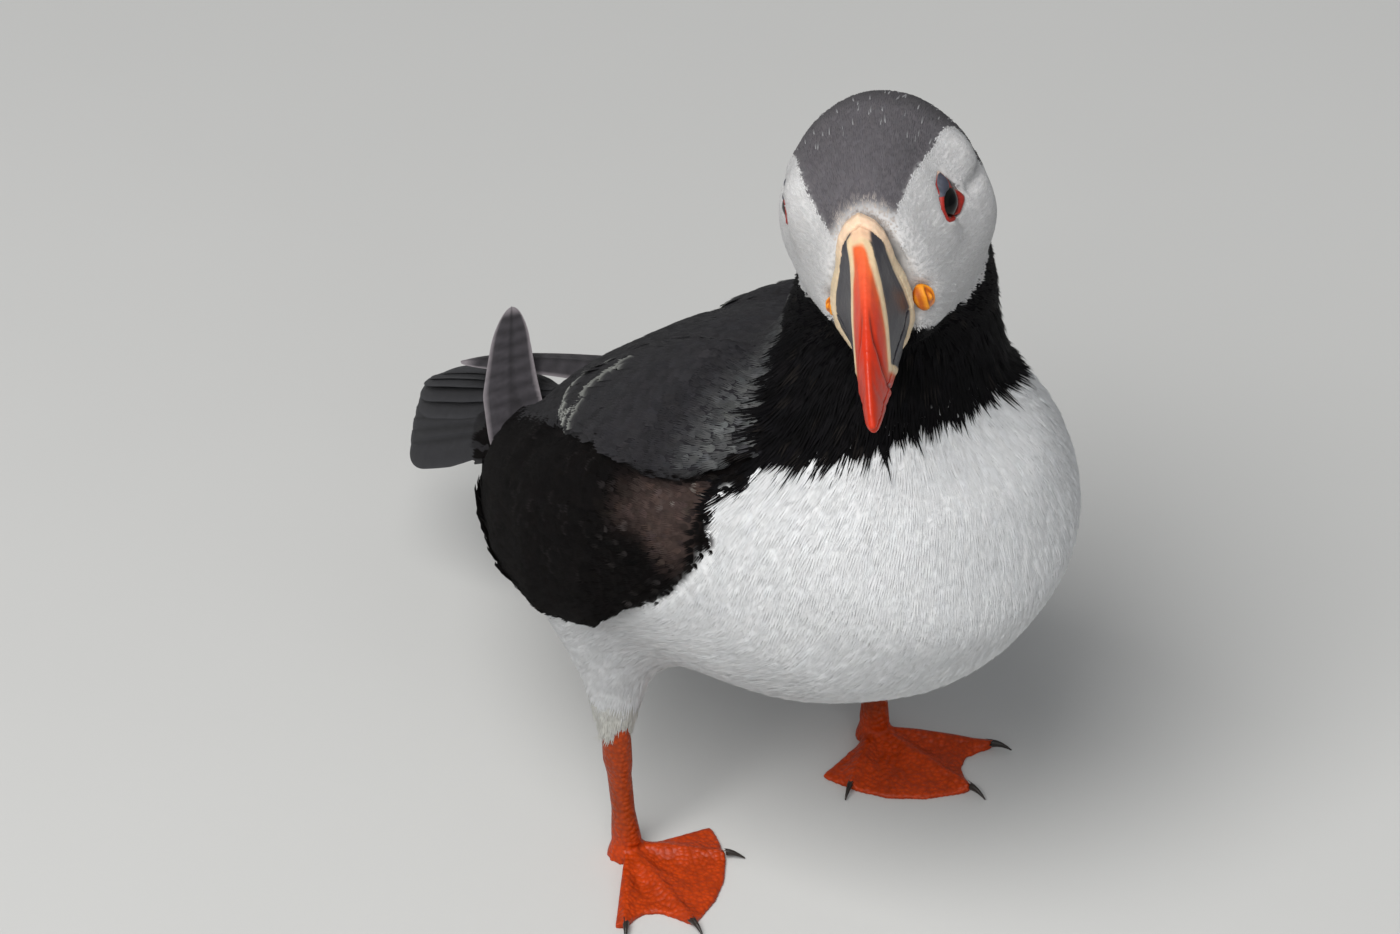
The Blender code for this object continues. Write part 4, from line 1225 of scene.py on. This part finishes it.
def shapeRim():
    obj = meltNodes(["bill_rim"], "bill_base_rim", bill["voxel"], 0, 3)
    points, normals = pointsOf(obj), normalsOf(obj)
    s, f, u = toHead(points).T
    around = np.arctan2(u - 3, s)
    wrinkle = 0.02 * np.sin(around * 46 + 2 * np.sin(around * 9))
    movePoints(obj, warpBase(points + normals * (wrinkle * ease(f, -2, 1))[:, None]))
    colour = blend(tone(206, 186, 156), tone(226, 196, 168), ease(u, 8, 20))
    # painted shade and light: the colour follows the wrinkles, darker in their troughs and lighter on their
    # crests
    paintPoints(obj, colour * (1 + wrinkle)[:, None])
    settle(obj, rimHorn, ["bill_rim"])


def addSphere(title, segments, rings, radius):
    bpy.ops.mesh.primitive_uv_sphere_add(segments=segments, ring_count=rings, radius=radius * mm,
                                         location=(0, 0, 0))
    ball = bpy.context.active_object
    ball.name = title
    return ball


rosette = {"half": (1.9, 2.2, 3.0), "size": {"right": 0.75, "left": 1.0}, "folds": 1.25, "depth": 0.32,
           "cleft": 0.7, "cleftAt": -1.9, "deep": tone(176, 86, 12), "high": tone(226, 142, 24),
           "pink": tone(196, 140, 110)}


def shapeRosette(side):
    name = "rosette_" + side
    sign = -1 if side == "right" else 1
    obj = addSphere("gape_fold_" + side, 56, 40, 1)
    local = pointsOf(obj)
    x, y, z = local.T
    spread = np.hypot(y, z)
    around = np.arctan2(z * sign, y)
    outward = ease(x, -0.2, 0.5)
    bent = np.hypot(y * 1.2 + 0.15, z * 0.8 * sign - 0.1) + 0.12 * np.sin(around + 0.7)
    fold = np.cos(2 * math.pi * bent * rosette["folds"])
    cleft = bell(around - rosette["cleftAt"], 0.35) * ease(spread, 0.2, 0.8)
    local = local * rosette["half"] * (1 + 0.05 * np.sin(around * 2 + 1) + 0.02 * np.sin(around * 5))[:, None]
    local[:, 0] += outward * (rosette["depth"] * fold - rosette["cleft"] * cleft)
    local *= rosette["size"][side]
    facing = unit(np.array((0.75 * sign, 0.6, 0.25)))
    ahead = unit(np.array((-0.6 * sign, 0.75, 0)))
    turned = np.array((facing, ahead, np.cross(facing, ahead)))
    movePoints(obj, midOf(name) + local @ turned @ headBasis)
    # painted shade and light: the folds' troughs and the cleft are painted a deeper orange, the crests a
    # lighter one
    colour = blend(rosette["deep"], rosette["high"], ease(fold, -1, 0.8) * (1 - 0.6 * cleft))
    pink = bell(around - rosette["cleftAt"], 0.6) * ease(spread, 0.1, 0.6) * 0.6
    paintPoints(obj, blend(colour, rosette["pink"], pink))
    shadeSmooth(obj)
    settle(obj, rimHorn, [name])


shapeBill("bill_upper", "bill_top")
shapeBill("bill_lower", "bill_bottom")
shapeRim()
for sideName in ("right", "left"):
    shapeRosette(sideName)
print("bill done")


# eyes with their lids and horny plates
def globeMaterial():
    mat, tree, shader = startMaterial("eye_globe")
    setInputs(shader, {"Roughness": 0.1, "Coat Weight": 0.0, "Coat Roughness": 0.03,
                       "Specular IOR Level": 0.2})
    tree.links.new(mottle(tree, paintedTone(tree), 0.12, 900), shader.inputs["Base Color"])
    return mat


irisGlobe = globeMaterial()
lidSkin = hornMaterial("lid_skin", 0.5, 0.1, 0.00015)
plateHorn = hornMaterial("eye_plate_horn", 0.5, 0.1, 0.0002)
globe = {"radius": 4.6, "pupil": 1.9, "cornea": 0.25, "dark": tone(2, 3, 3), "iris": tone(14, 15, 12)}
lidForm = {"count": 96, "rows": 9, "red": tone(146, 30, 19), "cream": tone(196, 176, 158), "over": 0.3,
           "swell": 0.55, "tuck": 0.5, "ray": 12, "usual": 2.5, "range": (0.5, 5.2)}
plateForm = {"across": 13, "upward": 13, "from": (-1.1, 2.7), "rise": (2.8, 3.5), "bulge": 0.35,
             "tone": tone(60, 63, 74)}


def skinHeight(mid, out, flat):  # how high the skin stands over the eye's middle plane
    hit = skinTree.ray_cast(Vector(mid + flat + out * lidForm["ray"]), Vector(-out))
    if hit[0] is None:
        return lidForm["usual"]
    return float(np.clip((np.array(hit[0]) - mid) @ out, *lidForm["range"]))


def evenRing(values, rounds):
    for _ in range(rounds):
        values = 0.5 * values + 0.25 * (np.roll(values, 1) + np.roll(values, -1))
    return values


def lidHeight(share, low, rim):
    swell = lidForm["swell"] * math.sin(math.pi * min(share * 1.25, 1)) ** 0.7
    return low + (rim + lidForm["over"] - low) * share + swell - lidForm["tuck"] * share ** 8


def makeGlobe(side):
    mid, out, rear, top = eyeAxes(side)
    ball = addSphere("eye_" + side + "_globe", 48, 32, globe["radius"])
    points = pointsOf(ball)
    r = np.hypot(points[:, 0], points[:, 1])
    points[:, 2] += np.where(points[:, 2] > 0, globe["cornea"] * bell(r, 2.2), 0)
    iris = ease(r, globe["pupil"], globe["pupil"] + 0.25) * (points[:, 2] > 0)
    movePoints(ball, mid + points @ np.array((rear, top, out)))
    paintPoints(ball, blend(globe["dark"], globe["iris"], iris))
    inEditMode(ball, lambda: bpy.ops.mesh.normals_make_consistent(inside=False))
    bpy.ops.object.shade_smooth()
    settle(ball, irisGlobe, ["eye_" + side])


def makeLid(side):  # a soft ring pointed at its rear and lower corners, from the globe up to the skin
    mid, out, rear, top = eyeAxes(side)
    count, rows = lidForm["count"], lidForm["rows"]
    angle = np.linspace(0, 2 * math.pi, count, endpoint=False)
    flat = np.cos(angle)[:, None] * rear + np.sin(angle)[:, None] * top
    outer = evenRing(lidEdge(angle), 2)
    low = math.sqrt(globe["radius"] ** 2 - lid["opening"] ** 2) - 0.12
    rim = evenRing(np.array([skinHeight(mid, out, flat[k] * outer[k] * 1.02) for k in range(count)]), 6)
    points = np.zeros((rows, count, 3))
    for r in range(rows):
        share = r / (rows - 1)
        reach = lid["opening"] + (outer - lid["opening"]) * share
        points[r] = mid + out * lidHeight(share, low, rim)[:, None] + flat * reach[:, None]
    grid = np.arange(rows * count).reshape(rows, count)
    after = np.roll(grid, -1, 1)
    tris = np.concatenate((np.stack((grid[:-1], after[:-1], after[1:]), -1).reshape(-1, 3),
                           np.stack((grid[:-1], after[1:], grid[1:]), -1).reshape(-1, 3)))
    ring = newMesh("eye_" + side + "_lid", points.reshape(-1, 3), tris)
    share = np.repeat(np.linspace(0, 1, rows), count)
    around = np.tile(angle, rows)
    colour = lidForm["red"] * (1 + 0.1 * np.sin(around * 23 + share * 5))[:, None]
    # painted shade: the lid's outer edge is darker on its lower side
    colour = colour * (1 - 0.55 * ease(share, 0.8, 1.0) * ease(-np.sin(around - 0.3), 0.1, 0.5))[:, None]
    colour = blend(colour, lidForm["cream"], ease(share, 0.74, 0.9) * ease(np.cos(around - 0.6), 0.55, 0.8))
    # painted shade: the lid is darkest at its inner edge, where it meets the globe
    paintPoints(ring, colour * (1 - (1 - ease(share, 0.0, 0.15)) * 0.7)[:, None])
    settle(ring, lidSkin)
    return angle, outer, low, rim


def makePlate(side, angle, outer, low, rim):  # the horny plate over the lid
    mid, out, rear, top = eyeAxes(side)
    across, upward = plateForm["across"], plateForm["upward"]
    points = np.zeros((upward, across, 3))
    for j in range(upward):
        q = j / (upward - 1)
        for i in range(across):
            v = 2 * i / (across - 1) - 1
            back = plateForm["from"][0] + plateForm["rise"][0] * q + v * (0.3 + 1.6 * (1 - q) ** 0.6)
            high = plateForm["from"][1] - 0.5 * v * (1 - q) + plateForm["rise"][1] * q
            turn = math.atan2(high, back) % (2 * math.pi)
            edge = float(np.interp(turn, angle, outer))
            share = min(max((math.hypot(back, high) - lid["opening"]) / (edge - lid["opening"]), 0), 1)
            base = lidHeight(share, low, float(np.interp(turn, angle, rim)))
            dome = (1 - v ** 4) ** 0.5 * math.sin(math.pi * min(0.15 + q * 0.85, 1)) ** 0.5
            points[j, i] = mid + rear * back + top * high + out * (base - 0.1 + plateForm["bulge"] * dome)
    tris = gridTriangles(np.arange(across * upward).reshape(upward, across))
    plate = newMesh("eye_" + side + "_plate", points.reshape(-1, 3), tris)
    paintPlain(plate, plateForm["tone"])
    settle(plate, plateHorn)


for sideName in ("right", "left"):
    makeGlobe(sideName)
    makePlate(sideName, *makeLid(sideName))
print("eyes done")


# legs, webs and claws
def scalyMaterial(name, rough, scale, depth):
    mat, tree, shader = startMaterial(name)
    coord = tree.nodes.new("ShaderNodeTexCoord")
    cells = tree.nodes.new("ShaderNodeTexVoronoi")
    setInputs(cells, {"Scale": scale})
    link(tree, coord, "Object", cells, "Vector")
    darker = tree.nodes.new("ShaderNodeMapRange")
    setInputs(darker, {"From Max": 0.7, "To Min": 1.08, "To Max": 0.72})
    link(tree, cells, "Distance", darker, "Value")
    colour = scaled(tree, paintedTone(tree), darker, "Result")
    tree.links.new(mottle(tree, colour, 0.12, 160), shader.inputs["Base Color"])
    setInputs(shader, {"Roughness": rough, "Specular IOR Level": 0.25, "Subsurface Weight": 0.15,
                       "Subsurface Radius": (1.0, 0.4, 0.2), "Subsurface Scale": 0.0015})
    addBump(tree, shader, cells.outputs["Distance"], depth).invert = True
    return mat


legSkin = scalyMaterial("leg_skin", 0.45, 900, 0.0003)
clawHorn = hornMaterial("claw_horn", 0.35, 0.2, 0.0001)
shank = {"voxel": 0.55, "fill": 0.12, "upper": tone(158, 56, 5), "lower": tone(186, 60, 4),
         "claw": tone(40, 34, 30), "clawVoxel": 0.22, "inside": 8, "knee": 5, "waist": 0.25}


def shapeLeg(side):
    names = ["tarsus_" + side, "foot_" + side]
    obj = meltNodes(names, "leg_" + side, shank["voxel"], shank["fill"], 4)
    points = pointsOf(obj)
    z = points[:, 2].copy()
    # the shank goes on up inside the thigh's feathers
    knee = ease(z, z.max() - shank["knee"], z.max())
    middle = points[z > z.max() - shank["knee"] - 1].mean(0)
    points[:, :2] += (middle[:2] - points[:, :2]) * (shank["waist"] * knee)[:, None]
    points[:, 2] += shank["inside"] * knee
    movePoints(obj, points)
    # painted shade: the shank is darker higher up, under the body, than at the foot
    paintPoints(obj, blend(shank["upper"], shank["lower"], 1 - ease(z, 3, 12)))
    shadeSmooth(obj)
    settle(obj, legSkin, names)
    for toe in ("outer", "middle", "inner"):
        name = "claw_" + toe + "_" + side
        claw = meltNodes([name], "nail_" + toe + "_" + side, shank["clawVoxel"], 0, 2)
        paintPlain(claw, shank["claw"])
        settle(claw, clawHorn, [name])


for sideName in ("right", "left"):
    shapeLeg(sideName)
print("legs done")

# floor, light and camera
bpy.ops.mesh.primitive_plane_add(size=6, location=(0, 0, 0))
floor = bpy.context.active_object
floor.name = "studio_floor"
mat, tree, shader = startMaterial("pale_floor")
paper = tree.nodes.new("ShaderNodeRGB")
paper.outputs[0].default_value = (0.56, 0.56, 0.55, 1)
tree.links.new(mottle(tree, paper.outputs[0], 0.015, 6), shader.inputs["Base Color"])
setInputs(shader, {"Roughness": 0.9})
floor.data.materials.append(mat)

# places in metres
studio = {"sky_soft": {"place": (-1.0, -0.45, 1.55), "aim": (0, 0, 0.12), "size": 1.1, "power": 38,
                       "colour": (1.0, 0.99, 0.97)},
          "fill_soft": {"place": (-0.6, -1.6, 1.0), "aim": (0, 0, 0.1), "size": 1.2, "power": 5,
                        "colour": (0.96, 0.98, 1.0)}}
surround = {"Color": (0.93, 0.96, 1.0, 1), "Strength": 0.26}
viewpoint = {"lens": 239.4, "sensor": 36, "place": spot(-1033.29, -1213.62, 1291.22),
             "right": (0.76604, -0.64279, 0.0), "up": (0.38684, 0.46102, 0.79864),
             "back": (-0.51335, -0.61179, 0.60182)}

for name, look in studio.items():
    lamp = bpy.data.lights.new(name, "AREA")
    lamp.size = look["size"]
    lamp.energy = look["power"]
    lamp.color = look["colour"]
    holder = bpy.data.objects.new(name, lamp)
    bpy.context.collection.objects.link(holder)
    holder.location = look["place"]
    holder.rotation_euler = (Vector(look["aim"]) - Vector(look["place"])).to_track_quat("-Z", "Y").to_euler()
world = bpy.data.worlds.new("studio")
bpy.context.scene.world = world
world.use_nodes = True
setInputs(world.node_tree.nodes["Background"], surround)
bpy.context.scene.view_settings.view_transform = "Standard"

lens = bpy.data.cameras.new("viewpoint")
lens.lens = viewpoint["lens"]
lens.sensor_width = viewpoint["sensor"]
camera = bpy.data.objects.new("viewpoint", lens)
bpy.context.collection.objects.link(camera)
turn = Matrix([viewpoint[way] for way in ("right", "up", "back")]).transposed()
camera.matrix_world = Matrix.Translation(Vector(viewpoint["place"]) * mm) @ turn.to_4x4()
bpy.context.scene.camera = camera

total = sum(len(o.data.polygons) for o in bpy.data.objects
            if o.type == "MESH" and o is not floor and "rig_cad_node" not in o)
print("triangles or faces in all", total)
